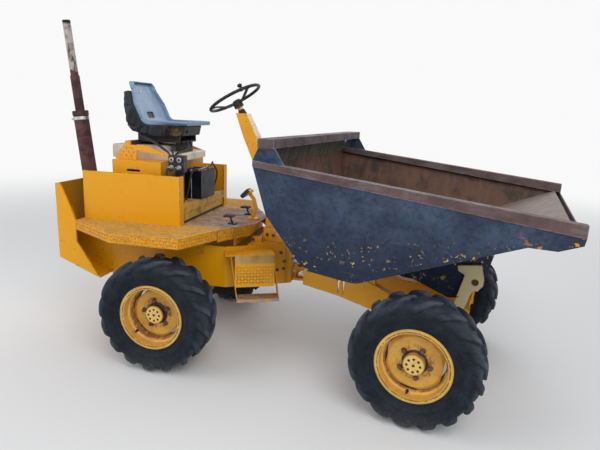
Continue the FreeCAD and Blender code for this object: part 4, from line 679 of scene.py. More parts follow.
def only(piece):
    """Makes one piece the selected and active one."""
    bpy.ops.object.select_all(action="DESELECT")
    piece.select_set(True)
    bpy.context.view_layer.objects.active = piece


def start(name, kind, **size):
    """Adds a primitive and names it."""
    bpy.ops.object.select_all(action="DESELECT")
    getattr(bpy.ops.mesh, "primitive_" + kind + "_add")(**size)
    piece = bpy.context.object
    piece.name = name
    piece.data.name = name
    return piece


def choose(piece, kind, test):
    """Enters edit mode with the faces, edges or vertices selected whose middle passes the test."""
    only(piece)
    bpy.ops.object.mode_set(mode="EDIT")
    bpy.ops.mesh.select_mode(type=kind)
    bpy.ops.mesh.select_all(action="DESELECT")
    mesh = bmesh.from_edit_mesh(piece.data)
    if kind == "FACE":
        for face in mesh.faces:
            face.select_set(test(face.calc_center_median(), face.normal))
    elif kind == "EDGE":
        for edge in mesh.edges:
            first, last = (vert.co for vert in edge.verts)
            edge.select_set(test((first + last) / 2, last - first))
    else:
        for vert in mesh.verts:
            vert.select_set(test(vert.co, vert.normal))
    mesh.select_flush_mode()
    bmesh.update_edit_mesh(piece.data)


def leave():
    """Back to object mode."""
    bpy.ops.object.mode_set(mode="OBJECT")


def apply_modifier(piece, kind, **settings):
    """Adds a modifier, sets it and applies it."""
    only(piece)
    modifier = piece.modifiers.new(kind.lower(), kind)
    for key, value in settings.items():
        setattr(modifier, key, value)
    bpy.ops.object.modifier_apply(modifier=modifier.name)


def freeze(piece):
    """Puts the object's place, turn and scale into its mesh."""
    only(piece)
    bpy.ops.object.transform_apply(location=True, rotation=True, scale=True)


def placed(piece, place):
    """Moves a piece to a place, and puts that into its mesh."""
    piece.matrix_world = place
    freeze(piece)
    return piece


def joined(name, pieces):
    """Several pieces as one mesh."""
    bpy.ops.object.select_all(action="DESELECT")
    for piece in pieces:
        piece.select_set(True)
    bpy.context.view_layer.objects.active = pieces[0]
    if len(pieces) > 1:
        bpy.ops.object.join()
    pieces[0].name = name
    pieces[0].data.name = name
    return pieces[0]


def copied(piece, name):
    """A copy with its own mesh."""
    twin = piece.copy()
    twin.data = piece.data.copy()
    twin.name = name
    bpy.context.scene.collection.objects.link(twin)
    return twin


def smooth(piece, degrees):
    """Smooth shading, with edges sharper than the angle kept."""
    only(piece)
    bpy.ops.object.shade_smooth_by_angle(angle=math.radians(degrees))
    return piece


def reshape(piece, place):
    """Moves every vertex to place(x, y, z)."""
    for vert in piece.data.vertices:
        vert.co = place(*vert.co)
    piece.data.update()


def turned_over(piece):
    """Turns every face's front to its back, as a mirrored mesh needs."""
    choose(piece, "FACE", lambda c, n: True)
    bpy.ops.mesh.flip_normals()
    leave()


def mirror_twin(piece, name):
    """The same piece on the machine's other side."""
    twin = copied(piece, name)
    reshape(twin, lambda x, y, z: (x, -y, z))
    turned_over(twin)
    return twin


def spun(piece, steps, axis, gap):
    """Turns the piece's outline about an axis through the origin, and closes it."""
    choose(piece, "EDGE", lambda c, d: True)
    bpy.ops.mesh.spin(steps=steps, angle=2 * math.pi, center=(0, 0, 0), axis=axis)
    bpy.ops.mesh.select_all(action="SELECT")
    bpy.ops.mesh.remove_doubles(threshold=gap)
    bpy.ops.mesh.delete_loose(use_verts=True, use_edges=True, use_faces=False)
    bpy.ops.mesh.normals_make_consistent(inside=False)
    leave()
    return piece


def settle(piece, half, body, slot, finish, replaces=()):
    """Sets a drawn piece into its half of the machine, with its body and finish; the slot is not used."""
    placed(piece, half @ piece.matrix_world)
    coat(piece, finish)
    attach(piece, body)
    if replaces:
        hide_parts(*replaces)
    return piece


# Tyres

TYRE_RADIUS = WHEEL_HEIGHT - 0.3 * MM
TYRE_HALF = 132 * MM
BEAD_RADIUS = 200 * MM
CASING_DROP = 24 * MM
LUG_START = 0.09
BEAD_LINE = [
    # share, radius, distance from the middle
    (0.85, 230 * MM, 103 * MM),
    (0.91, 213 * MM, 99.7 * MM),
    (0.96, 193.5 * MM, 99.4 * MM),
    (1.00, 193.5 * MM, 66 * MM),
]


def casing_point(share, lift=0.0):
    """Across the casing, share 0 at the crown and 1 at the bead: radius and distance from the middle."""
    crown = TYRE_RADIUS - CASING_DROP
    angle = share * math.radians(158)
    across = TYRE_HALF * math.sin(angle) ** 0.62 * 0.965
    middle = (crown + BEAD_RADIUS) / 2 + 12 * MM
    rise = (crown - middle) * math.cos(angle)
    squared = math.copysign(abs(math.cos(angle)) ** 0.72, math.cos(angle))
    radius = middle + (crown - middle) * squared if angle < math.pi / 2 else middle + rise * 1.28
    for (share0, radius0, across0), (share1, radius1, across1) in zip(BEAD_LINE, BEAD_LINE[1:]):
        if share0 <= share <= share1:
            part = (share - share0) / (share1 - share0)
            return radius0 + part * (radius1 - radius0), across0 + part * (across1 - across0)
    return radius + lift * max(squared, 0.0) ** 0.35, across + lift * 0.35 * math.sin(angle)


def tyre_casing(name):
    """The smooth casing, as a section spun about the axle."""
    rings = 24
    piece = start(name, "circle", vertices=2 * rings + 1, radius=0.1, fill_type="NOTHING")
    half = [casing_point(i / rings) for i in range(rings + 1)]
    section = half[:0:-1] + half
    for i, vert in enumerate(piece.data.vertices):
        radius, across = section[i]
        side = -1 if i < rings else 1
        vert.co = (radius, side * across, 0)
    return spun(piece, 72, (0, 1, 0), 0.2 * MM)


def tread_bar(name, s):
    """One chevron bar, from near the crown round the shoulder onto the sidewall."""
    piece = start(name, "cube", size=1)
    choose(piece, "EDGE", lambda c, d: abs(d.x) > 0.5)
    bpy.ops.mesh.subdivide(number_cuts=9)
    leave()
    apply_modifier(piece, "BEVEL", width=0.10, segments=2, limit_method="ANGLE")

    def place(x, y, z):
        along = x + 0.5
        share = 0.02 + 0.50 * along
        lift = (z + 0.5) * s.lug_height * (1 - 0.55 * max(0.0, along - 0.72) / 0.28) - 3 * MM * (z < 0)
        radius, across = casing_point(share, max(lift, 0.0))
        swing = 0.36 * along ** 0.8 - LUG_START
        width = s.lug_width * (0.80 + 0.45 * along) / TYRE_RADIUS
        angle = swing + y * width
        return (radius * math.cos(angle), across, radius * math.sin(angle))

    reshape(piece, place)
    return piece


def chevron_tyre(name, s):
    """Casing and bars of one tyre about the origin, axle along Y, bars pointing one way."""
    bars = []
    bar = tread_bar("bar", s)
    mirror = mirror_twin(bar, "bar_mirror")
    for i in range(s.lugs):
        for template, half_step in ((bar, 0.0), (mirror, 0.5)):
            one = copied(template, "bar_copy")
            one.matrix_world = Matrix.Rotation(2 * math.pi * (i + half_step) / s.lugs, 4, "Y")
            bars.append(one)
    for template in (bar, mirror):
        bpy.data.objects.remove(template)
    casing = tyre_casing("casing")
    ribs = []
    for side in (-1, 1):
        for share, width in ((0.70, 3), (0.86, 2.4)):
            radius, across = casing_point(share)
            ribs.append(start("rib", "torus", major_radius=radius, minor_radius=width * MM, major_segments=72,
                              minor_segments=8, location=(0, side * across, 0), rotation=(math.pi / 2, 0, 0)))
    piece = joined(name, [casing] + bars + ribs)
    freeze(piece)
    return smooth(piece, 40)


def middle_of(node, end):
    """The middle of a piece's box, with the turn of its half of the machine."""
    low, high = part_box(node)
    return Matrix.Translation((low + high) / 2) @ HALVES[end].to_3x3().to_4x4()


class DUMPER_OT_tyres(bpy.types.Operator):
    """Four chevron tyres in place of the plain ones"""
    bl_idname = "dumper.tyres"
    bl_label = "Tyres"

    def execute(self, context):
        pattern = chevron_tyre("tyre_pattern", context.scene.dumper_sizes)
        for end in ("front", "rear"):
            for side in ("right", "left"):
                node = "tyre_%s_%s" % (end, side)
                tyre = copied(pattern, node + "_tread")
                settle(tyre, middle_of(node, end), "%s_%s_wheel" % (end, side), "tyre", node, (node,))
        bpy.data.objects.remove(pattern)
        return {"FINISHED"}


class DUMPER_OT_paint(bpy.types.Operator):
    """Finishes on every piece of the frame"""
    bl_idname = "dumper.paint"
    bl_label = "Paint the frame"

    def execute(self, context):
        make_materials(context.scene.dumper_colours)
        for name, node in frame["nodes"].items():
            coat(node, NODE_FINISH.get(name, name))
        return {"FINISHED"}


# Shared forms

def at(x, y, z):
    """A place in the drawing's millimetres about the pivot."""
    return Vector((x, y, z)) * MM


def aimed(place, direction, turn=0.0):
    """Stands +Z along a direction, at a place in the drawing's millimetres."""
    lean = Vector(direction).to_track_quat("Z", "Y").to_matrix().to_4x4()
    return Matrix.Translation(at(*place)) @ lean @ Matrix.Rotation(turn, 4, "Z")


def block(name, low, high, rounding=1.0):
    """A box between two corners in millimetres, its edges rounded."""
    low, high = at(*low), at(*high)
    piece = start(name, "cube", size=1, location=(low + high) / 2)
    piece.scale = high - low
    freeze(piece)
    apply_modifier(piece, "BEVEL", width=rounding * MM, segments=2)
    return piece


def lathe(name, profile, steps=40):
    """A turned piece about Z, from a closed profile of radius and height in millimetres."""
    piece = start(name, "circle", vertices=len(profile), radius=0.1, fill_type="NOTHING")
    for vert, (radius, height) in zip(piece.data.vertices, profile):
        vert.co = at(radius, 0, height)
    return spun(piece, steps, (0, 0, 1), 0.02 * MM)


def hexagon(name, flats, height, bottom=0.0):
    """A hexagon head or nut with a chamfered top, about Z."""
    radius = flats / 2 / math.cos(math.pi / 6)
    piece = start(name, "cylinder", vertices=6, radius=radius * MM, depth=height * MM,
                  location=(0, 0, (bottom + height / 2) * MM))
    freeze(piece)
    choose(piece, "FACE", lambda c, n: n.z > 0.9)
    bpy.ops.mesh.inset(thickness=0.14 * flats * MM)
    bpy.ops.transform.translate(value=(0, 0, 0.07 * flats * MM))
    leave()
    apply_modifier(piece, "BEVEL", width=0.03 * flats * MM, segments=1, limit_method="ANGLE")
    return piece


def bolt(name, flats=17, height=9, washer=1.6):
    """A hexagon head on its washer."""
    ring = lathe(name + "_washer", [(0, 0), (0.72 * flats, 0), (0.72 * flats, washer), (0, washer)], 24)
    return joined(name, [hexagon(name, flats, height, washer), ring])


def tube(name, points, radius, ripple=0.0):
    """A pipe, hose or weld along a line through places in millimetres, its ends closed."""
    curve = bpy.data.curves.new(name, "CURVE")
    curve.dimensions = "3D"
    spline = curve.splines.new("POLY" if ripple else "NURBS")
    spline.points.add(len(points) - 1)
    for i, (point, place) in enumerate(zip(spline.points, points)):
        point.co = (*at(*place), 1)
        point.radius = 1.0 - ripple * (i % 2)
    if not ripple:
        spline.order_u = 3
        spline.use_endpoint_u = True
    curve.bevel_depth = radius * MM
    curve.bevel_resolution = 1 if ripple else 3
    curve.use_fill_caps = True
    piece = bpy.data.objects.new(name, curve)
    bpy.context.scene.collection.objects.link(piece)
    only(piece)
    bpy.ops.object.convert(target="MESH")
    piece = bpy.context.object
    piece.name = name
    return piece


def weld(name, first, last, radius=3.5, pitch=4.0):
    """A rippled bead between two places."""
    first, last = Vector(first), Vector(last)
    count = max(4, int((last - first).length / pitch))
    return tube(name, [first.lerp(last, i / count) for i in range(count + 1)], radius, ripple=0.28)


def scattered(name, template, places):
    """Copies of one template at each place, as one piece; the template goes."""
    copies = [copied(template, "%s_%d" % (name, i)) for i in range(len(places))]
    for one, place in zip(copies, places):
        one.matrix_world = place
    bpy.data.objects.remove(template)
    piece = joined(name, copies)
    freeze(piece)
    return piece


# Wheel fittings

WHEELS = [
    # end, inset of the disc, turn of the disc
    ("rear", 92, 45),
    ("front", 62, 8),
]
FLANGE_HALF = 105
STUD_CIRCLE = 86
STUD_BOSS = 6
HUB_FACE = 46
HUB_RADIUS = 59
SOCKET_CIRCLE = 37
VALVE_CIRCLE = 180
CONE_PROFILE = [(0, 0), (17, 0), (13, 5), (0, 5)]
STUD_PROFILE = [(0, 18), (6.5, 18), (6.5, 27), (5, 29), (0, 29)]
GREASE_PROFILE = [(HUB_RADIUS, 0), (69, 0), (66, 4), (60.5, 9), (HUB_RADIUS, 9)]
SOCKET_PROFILE = [(0, -5.5), (4.8, -5.5), (4.8, 0.1), (7.4, 0.1), (6.8, 1.1), (4.1, 1.1), (4.1, -4.8),
                  (0, -4.8)]
STEM_PROFILE = [(0, -30), (6.8, -30), (6.8, 2), (4.4, 5), (4.4, 22), (5.4, 23), (5.4, 33), (4, 35), (0, 35)]


def wheel_place(radius, degrees, out, turn=0.0):
    """A place on a right wheel about its centre, facing outwards."""
    t = math.radians(degrees)
    return aimed((radius * math.cos(t), -out, -radius * math.sin(t)), (0, -1, 0), turn)


def lump(x, y, z):
    """Makes the outside of the grease ring uneven."""
    if math.hypot(x, y) <= (HUB_RADIUS + 0.5) * MM:
        return x, y, z
    angle = math.atan2(y, x)
    wave = 1 + 0.035 * math.sin(5 * angle) + 0.03 * math.sin(13 * angle + 1)
    return x * wave, y * wave, z


def wheel_fittings(inset, disc_turn):
    """Nuts on studs, the greasy hub's ring and sockets, and the valve, about a right wheel's centre."""
    face = FLANGE_HALF - inset
    cone = lathe("cone", CONE_PROFILE, 24)
    stud = lathe("stud", STUD_PROFILE, 16)
    nut = joined("nut", [hexagon("nut", 22, 16, 4), cone, stud])
    places = [wheel_place(STUD_CIRCLE, 72 * i + disc_turn, face + STUD_BOSS - 0.3, 0.7 * i) for i in range(5)]
    nuts = smooth(scattered("nuts", nut, places), 30)
    ring = lathe("grease", GREASE_PROFILE, 60)
    reshape(ring, lump)
    placed(ring, wheel_place(0, 0, face + 0.1))
    holes = [wheel_place(SOCKET_CIRCLE, 45 * i, face + HUB_FACE) for i in range(8)]
    holes.append(wheel_place(0, 0, face + HUB_FACE))
    ring = joined("grease", [ring, scattered("sockets", lathe("socket", SOCKET_PROFILE, 16), holes)])
    stem = placed(lathe("stem", STEM_PROFILE, 20), wheel_place(VALVE_CIRCLE, disc_turn + 90, 36))
    return nuts, smooth(ring, 60), smooth(stem, 35)


class DUMPER_OT_wheel_fittings(bpy.types.Operator):
    """Wheel nuts, grease rings and valves"""
    bl_idname = "dumper.wheel_fittings"
    bl_label = "Wheel fittings"

    def execute(self, context):
        for end, inset, disc_turn in WHEELS:
            for side in ("right", "left"):
                made = wheel_fittings(inset, disc_turn)
                for part, finish, slot in zip(made, ("rusty", "grease", "hose"), ("rust", "engine", "black")):
                    part.name = "%s_%s_%s" % (part.name.split(".")[0], end, side)
                    if side == "left":
                        reshape(part, lambda x, y, z: (x, -y, z))
                        turned_over(part)
                    middle = middle_of("wheel_%s_%s" % (end, side), end)
                    settle(part, middle, "%s_%s_wheel" % (end, side), slot, finish)
        return {"FINISHED"}


# Tread plate

DECK_TOP = 900
RIGHT_DECK = [(-1492, -502), (-1094, -734), (-629, -734), (-501, -440), (-501, -366), (-757, -366),
              (-757, -438), (-1492, -438)]
FOOT_WELL = [(-754, -352), (-500, -352), (-500, -430), (-326, -132), (-326, 132), (-500, 430), (-500, 352),
             (-754, 352)]
FOOT_WELL_FITTINGS = [(-432, -343, -38, 38), (-540, -432, -246, -184), (-540, -432, 109, 171)]
STEP_TURN = math.radians(25)
STEP_ACROSS = Vector((math.cos(STEP_TURN), math.sin(STEP_TURN), 0))
STEP_IN = Vector((-math.sin(STEP_TURN), math.cos(STEP_TURN), 0))
STEP_PLACE = Vector((-240, -405, 0))
STEP_TOP = 445
SKIRT_EDGES = [
    # x, y of each end; bottom; top
    ((-1500, -508), (-1095, -742), 834, 900),
    ((-1095, -742), (-625, -742), 834, 900),
    ((-625, -742), (-495, -440), 834, 900),
    ((-495, -440), (-320, -135), 820, 893),
]


def rectangle(low_u, high_u, low_v, high_v):
    return [(low_u, low_v), (high_u, low_v), (high_u, high_v), (low_u, high_v)]


def edge_distance(u, v, first, last):
    """How far a point is from a straight edge of a plane."""
    (u0, v0), (u1, v1) = first, last
    length = math.hypot(u1 - u0, v1 - v0)
    along = min(max(((u - u0) * (u1 - u0) + (v - v0) * (v1 - v0)) / length ** 2, 0), 1)
    return math.hypot(u - u0 - along * (u1 - u0), v - v0 - along * (v1 - v0))


def inside(outline, u, v, margin):
    """Whether a point is inside an outline, clear of its edges."""
    within = False
    for i, (u1, v1) in enumerate(outline):
        u0, v0 = outline[i - 1]
        if (v0 > v) != (v1 > v) and u < (u1 - u0) * (v - v0) / (v1 - v0) + u0:
            within = not within
        if edge_distance(u, v, (u0, v0), (u1, v1)) < margin:
            return False
    return within


def tread_bars(name, s, outline, holes, origin, across, up):
    """Raised bars in crossed pairs over an outline on a plane, set out as an array and trimmed."""
    one = start(name, "cylinder", vertices=8, radius=0.5, depth=1)
    one.scale = (s.bar_length, s.bar_width, 2 * s.bar_height)
    freeze(one)
    choose(one, "FACE", lambda c, n: n.z > 0.9)
    bpy.ops.transform.resize(value=(0.72, 0.45, 1), center_override=(0, 0, s.bar_height))
    leave()
    cell = []
    for i in range(2):
        for j in range(2):
            bar = copied(one, "bar")
            turn = math.radians(45 if (i + j) % 2 else -45)
            place = Matrix.Translation((i * s.bar_pitch, j * s.bar_pitch, 0))
            bar.matrix_world = place @ Matrix.Rotation(turn, 4, "Z")
            cell.append(bar)
    each = len(one.data.vertices)
    bpy.data.objects.remove(one)
    field = joined(name, cell)
    freeze(field)
    low, high = ([pick(p[k] for p in outline) * MM for k in (0, 1)] for pick in (min, max))
    for k in (0, 1):
        step = [0.0, 0.0, 0.0]
        step[k] = 2 * s.bar_pitch
        apply_modifier(field, "ARRAY", count=int((high[k] - low[k]) / 2 / s.bar_pitch) + 1,
                       use_relative_offset=False, use_constant_offset=True, constant_offset_displace=step)
    span = [[v.co[k] for v in field.data.vertices] for k in (0, 1)]
    shift = [(low[k] + high[k] - max(span[k]) - min(span[k])) / 2 for k in (0, 1)]
    reshape(field, lambda x, y, z: (x + shift[0], y + shift[1], z))
    margin = 0.42 * s.bar_length / MM
    places = [v.co.copy() for v in field.data.vertices]
    doomed = set()
    for k in range(0, len(places), each):
        middle = sum(places[k:k + each], Vector()) / each / MM
        covered = any(u0 < middle.x < u1 and v0 < middle.y < v1 for u0, u1, v0, v1 in holes)
        if covered or not inside(outline, middle.x, middle.y, margin):
            doomed.update(range(k, k + each))
    choose(field, "VERT", lambda c, n: False)
    mesh = bmesh.from_edit_mesh(field.data)
    mesh.verts.ensure_lookup_table()
    for index in doomed:
        mesh.verts[index].select_set(True)
    mesh.select_flush_mode()
    bmesh.update_edit_mesh(field.data)
    bpy.ops.mesh.delete(type="VERT")
    leave()
    out = across.cross(up)
    reshape(field, lambda x, y, z: origin * MM + across * x + up * y + out * z)
    return field


class DUMPER_OT_tread_plate(bpy.types.Operator):
    """Raised bars on the deck, its skirts, the foot plate and the steps"""
    bl_idname = "dumper.tread_plate"
    bl_label = "Tread plate"

    def execute(self, context):
        s = context.scene.dumper_sizes
        x_way, y_way, z_way = Vector((1, 0, 0)), Vector((0, 1, 0)), Vector((0, 0, 1))
        deck = [tread_bars("deck_bars_right", s, RIGHT_DECK, (), z_way * DECK_TOP, x_way, y_way)]
        for first, last, low, high in SKIRT_EDGES:
            run = Vector((last[0] - first[0], last[1] - first[1], 0))
            strip = rectangle(2, run.length - 2, low, high)
            deck.append(tread_bars("skirt", s, strip, (), Vector((*first, 0)), run.normalized(), z_way))
        deck = joined("deck_bars_right", deck)
        riser, tread = rectangle(-132, 132, 531, 692), rectangle(-120, 168, -8, 88)
        step = [tread_bars("step_bars_right", s, riser, (), STEP_PLACE, STEP_ACROSS, z_way),
                tread_bars("tread", s, tread, (), STEP_PLACE + z_way * STEP_TOP, STEP_ACROSS, STEP_IN)]
        step = joined("step_bars_right", step)
        well = tread_bars("foot_bars", s, FOOT_WELL, FOOT_WELL_FITTINGS, z_way * DECK_TOP, x_way, y_way)
        for piece, finish, twin in ((deck, "deck", "deck_bars_left"), (step, "riser", "step_bars_left"),
                                    (well, "foot_plate", None)):
            if twin:
                settle(mirror_twin(piece, twin), REAR, "rear_half", "yellow_paint", finish)
            settle(piece, REAR, "rear_half", "yellow_paint", finish)
        return {"FINISHED"}


# Seat

PAD_VOXEL = 7 * MM
PAD_SWELL = 6 * MM
SEAT_FOLD = -1100
SEAT_SHARE = 0.662
PAD_NARROWS = -985
NARROWING = 0.32
RAIL_START = -800
RAIL_END = -900
RAIL_TOP = 1460
SPRING_STEPS = 25
SPRING_TURNS = 3
PAN_LINE = [(-665, 1555), (-1150, 1555), (-1284, 1850)]
PAD_UNDER = [(-727, 1484), (-1022, 1470), (-1221, 1504)]
PAD_SEAMS = [
    # x, z of each end; depth; half width
    (-1206, 1536, -1283, 1560, 9, 8),
    (-1130, 1560, -1170, 1500, 7, 7),
    (-1093, 1541, -1112, 1470, 8, 7),
    (-1264, 1678, -1200, 1677, 5, 5),
    (-1275, 1730, -1225, 1728, 4, 5),
    (-1000, 1545, -985, 1475, 4, 9),
    (-860, 1545, -905, 1478, 5, 10),
    (-790, 1540, -800, 1486, 6, 8),
]
FLAPS = [
    # x, z, length, lean
    (-722, 1528, 30, 0.5),
    (-716, 1510, 26, -0.3),
    (-728, 1497, 24, -0.8),
    (-726, 1540, 18, 0.9),
]


def line_distance(x, z, line):
    """How far a point in the side view is from a broken line."""
    return min(edge_distance(x, z, first, last) for first, last in zip(line, line[1:]))


def drawn(place):
    """A place in the frame as the rear half's drawing gives it, in millimetres."""
    return (place - REAR.translation) / MM


def seat_pad(name):
    """The black pad: the plain solid swelled as cloth where nothing holds it, with its folds."""
    pad = copied(frame["nodes"]["seat_shell"], name)
    pad.parent = None
    pad.matrix_world = Matrix.Identity(4)
    choose(pad, "FACE", lambda c, n: True)
    bpy.ops.mesh.remove_doubles(threshold=0.00002)
    leave()
    apply_modifier(pad, "REMESH", mode="VOXEL", voxel_size=PAD_VOXEL)
    held = pad.vertex_groups.new(name="held")
    for vert in pad.data.vertices:
        p = drawn(vert.co)
        if line_distance(p.x, p.z, PAN_LINE) < 17 or line_distance(p.x, p.z, PAD_UNDER) < 9:
            held.add([vert.index], 1.0, "REPLACE")
    before = [vert.co.copy() for vert in pad.data.vertices]
    only(pad)
    cloth = pad.modifiers.new("cloth", "CLOTH")
    cloth.settings.use_pressure = True
    cloth.settings.uniform_pressure_force = 4.0
    cloth.settings.effector_weights.gravity = 0.0
    cloth.settings.vertex_group_mass = "held"
    for step in range(1, 21):
        bpy.context.scene.frame_set(step)
    bpy.ops.object.modifier_apply(modifier="cloth")
    bpy.context.scene.frame_set(1)
    for vert, old in zip(pad.data.vertices, before):
        move = vert.co - old
        if move.length > PAD_SWELL:
            vert.co = old + move * (PAD_SWELL / move.length)
    apply_modifier(pad, "SUBSURF", levels=1, render_levels=1)
    normals = [vert.normal.copy() for vert in pad.data.vertices]
    for vert, normal in zip(pad.data.vertices, normals):
        p = drawn(vert.co)
        if line_distance(p.x, p.z, PAN_LINE) < 12:
            continue
        sink = 0.0
        for x0, z0, x1, z1, depth, width in PAD_SEAMS:
            sink += depth * math.exp(-(line_distance(p.x, p.z, [(x0, z0), (x1, z1)]) / width) ** 2)
        belly = 2.2 * math.sin(p.x / 23 + p.z / 60) * math.sin(p.z / 17) + 1.2 * math.sin(p.x / 9 - p.z / 21)
        worn = 1 if abs(p.y) > 150 else 0.4
        vert.co -= normal * (sink + 0.6 * belly) * MM * worn
    pad.data.update()
    return smooth(pad, 60)


def copy_of_node(node, name):
    """A welded copy of one frame piece, free to be reshaped."""
    piece = bpy.data.objects.new(name, frame["nodes"][node].data.copy())
    bpy.context.scene.collection.objects.link(piece)
    piece.data.materials.clear()
    choose(piece, "VERT", lambda c, n: True)
    bpy.ops.mesh.remove_doubles(threshold=0.01 * MM)
    leave()
    return piece


def drawn_back(piece, shift=0.0, narrows=0.0):
    """Shortens the seat ahead of its fold, and draws in the pad's sides towards the front."""
    fold, waist = SEAT_FOLD * MM + shift, PAD_NARROWS * MM + shift
    nose = fold + (PAD_UNDER[0][0] - SEAT_FOLD) * SEAT_SHARE * MM

    def place(x, y, z):
        if x > fold:
            x = fold + (x - fold) * SEAT_SHARE
        share = min(max((x - waist) / (nose - waist), 0.0), 1.0)
        return x, y * (1 - narrows * share * share), z

    reshape(piece, place)


def rail_ends_back(x, y, z):
    """Ends the seat rails behind the shortened pad's front."""
    if x < PIVOT.x + RAIL_START * MM:
        return x, y, z
    return PIVOT.x + RAIL_END * MM, y, z - (6 * MM if z > PIVOT.z + RAIL_TOP * MM else 0)


def seat_flap(i, x, z, size, lean):
    """One frayed flap of the cover at the seat's torn front corner."""
    flap = start("flap", "grid", x_subdivisions=8, y_subdivisions=6, size=1)
    flap.scale = at(size, 18 + 6 * i, 1)
    aim = aimed((x, -196 + 4 * i, z), (math.sin(lean), -0.5, math.cos(lean)))
    placed(flap, aim @ flap.matrix_basis)
    centre = at(x, -196, z)

    def ragged(px, py, pz):
        along, up = (px - centre.x) / MM, (pz - centre.z) / MM
        curl = 0.12 * math.sin(along / 5 + i) + 0.10 * math.sin(up / 4 + 2 * i)
        return px + 0.010 * curl, py - 0.006 * curl, pz + 0.014 * curl

    reshape(flap, ragged)
    apply_modifier(flap, "SOLIDIFY", thickness=1.6 * MM, offset=0)
    return flap


def seat_spring():
    """A few turns of the spring under the seat."""
    count = SPRING_STEPS * SPRING_TURNS
    turns = []
    for i in range(count + 1):
        angle = 2 * math.pi * i / SPRING_STEPS
        turns.append((-1155 + 54 * math.cos(angle), 54 * math.sin(angle), 1415 + 15 * i / count))
    return smooth(tube("seat_spring", turns, 3.6), 60)


class DUMPER_OT_seat(bpy.types.Operator):
    """Padded seat, its torn cover, rivets and spring"""
    bl_idname = "dumper.seat"
    bl_label = "Seat"

    def execute(self, context):
        pad = seat_pad("seat_pad")
        drawn_back(pad, PIVOT.x, NARROWING)
        settle(pad, Matrix.Identity(4), "rear_half", "seat_black", "vinyl", ("seat_shell",))
        torn = joined("seat_torn_edge", [seat_flap(i, *flap) for i, flap in enumerate(FLAPS)])
        drawn_back(torn, 0.0, NARROWING)
        settle(smooth(torn, 60), REAR, "rear_half", "seat_black", "vinyl")
        pan = copy_of_node("seat_pan", "seat_pan_moulding")
        drawn_back(pan, PIVOT.x)
        smooth(pan, 40)
        apply_modifier(pan, "WEIGHTED_NORMAL", weight=100, keep_sharp=True)
        settle(pan, Matrix.Identity(4), "rear_half", "seat_grey", "seat", ("seat_pan",))
        rails = copy_of_node("seat_frame", "seat_rails")
        reshape(rails, rail_ends_back)
        settle(rails, Matrix.Identity(4), "rear_half", "yellow_paint", "seat_frame", ("seat_frame",))
        rivet = lathe("rivet", [(0, -1), (7, -1), (7, 0.6), (5.5, 2.6), (3, 3.4), (0, 3.6)], 20)
        slope = Vector((295, 0, 134))
        z = 1771
        x = -1150 - (z - 1555) * slope.z / slope.x
        rivets = [aimed((x + 8.8, y, z + 4), slope.normalized()) for y in (-60, 60)]
        settle(scattered("seat_rivets", rivet, rivets), REAR, "rear_half", "steel", "zinc")
        settle(seat_spring(), REAR, "rear_half", "steel", "zinc")
        return {"FINISHED"}


# Controls

WHEEL_CENTRE = Vector((-540, 0, 1757))
WHEEL_UP = Vector((-0.5, 0, math.cos(math.radians(30))))
WHEEL_FORE = Vector((math.cos(math.radians(30)), 0, 0.5))


class DUMPER_OT_controls(bpy.types.Operator):
    """Knob and centre of the steering wheel, and rubber on the pedals"""
    bl_idname = "dumper.controls"
    bl_label = "Controls"

    def execute(self, context):
        knob = lathe("knob", [(0, 10), (6, 10), (6, 16), (12, 18), (17, 24), (17, 31), (12, 37), (0, 38)], 28)
        clamp = block("clamp", (-15, -9, -13), (15, 9, 15), 4)
        knob = joined("steering_knob", [knob, clamp])
        rim = WHEEL_CENTRE + WHEEL_FORE * 115 + Vector((0, -150, 0))
        placed(knob, aimed(rim, WHEEL_UP, math.radians(37)))
        settle(smooth(knob, 40), REAR, "steering_wheel_body", "black", "black")
        cap = lathe("steering_cap", [(0, -31), (31, -31), (31, -24), (27, -18), (14, -15), (0, -14)], 36)
        placed(cap, aimed(WHEEL_CENTRE, WHEEL_UP))
        settle(smooth(cap, 40), REAR, "steering_wheel_body", "black", "black")
        ribs = [block("pad", (-42, -38, -21), (40, 38, 5), 4)]
        for i in range(6):
            ribs.append(block("rib", (-33 + 11.5 * i, -32, 4), (-27 + 11.5 * i, 32, 9), 1.5))
        pad = joined("brake_pad", ribs)
        placed(pad, aimed((-451, 0, 1093), (-0.707, 0, 0.707), math.pi))
        settle(pad, REAR, "rear_half", "black", "hose")
        covers = []
        for y in (-215, 140):
            covers.append(block("cover", (-532, y - 27, 955), (-458, y + 27, 961), 2))
            for i in range(5):
                covers.append(block("rib", (-526 + 13 * i, y - 23, 960), (-519 + 13 * i, y + 23, 964), 1.2))
        settle(joined("pedal_rubbers", covers), REAR, "rear_half", "black", "hose")
        folds = [(21, 0), (27, 0), (29, 6), (24, 12), (28, 18), (23, 24), (26, 30), (21, 36)]
        boot = lathe("column_boot", folds, 32)
        placed(boot, aimed(WHEEL_CENTRE - WHEEL_UP * 128, WHEEL_UP))
        settle(smooth(boot, 50), REAR, "rear_half", "black", "hose")
        return {"FINISHED"}


# Battery, valve and hoses

BATTERY_LEADS = [
    [(-784, -90, 1243), (-784, -112, 1256), (-800, -140, 1246), (-812, -160, 1190), (-820, -170, 1110),
     (-835, -180, 1036)],
    [(-784, 140, 1243), (-784, 175, 1272), (-806, 240, 1276), (-840, 318, 1252), (-836, 352, 1225),
     (-815, 358, 1190), (-822, 352, 1110), (-850, 340, 1036)],
]
VALVE_X = (-875, -820)
STEER_RAM = Vector((-430, 230, 450)), Vector((75, 165, 450))
TIP_RAM = Vector((263, 0, 545)), Vector((956, 0, 776))


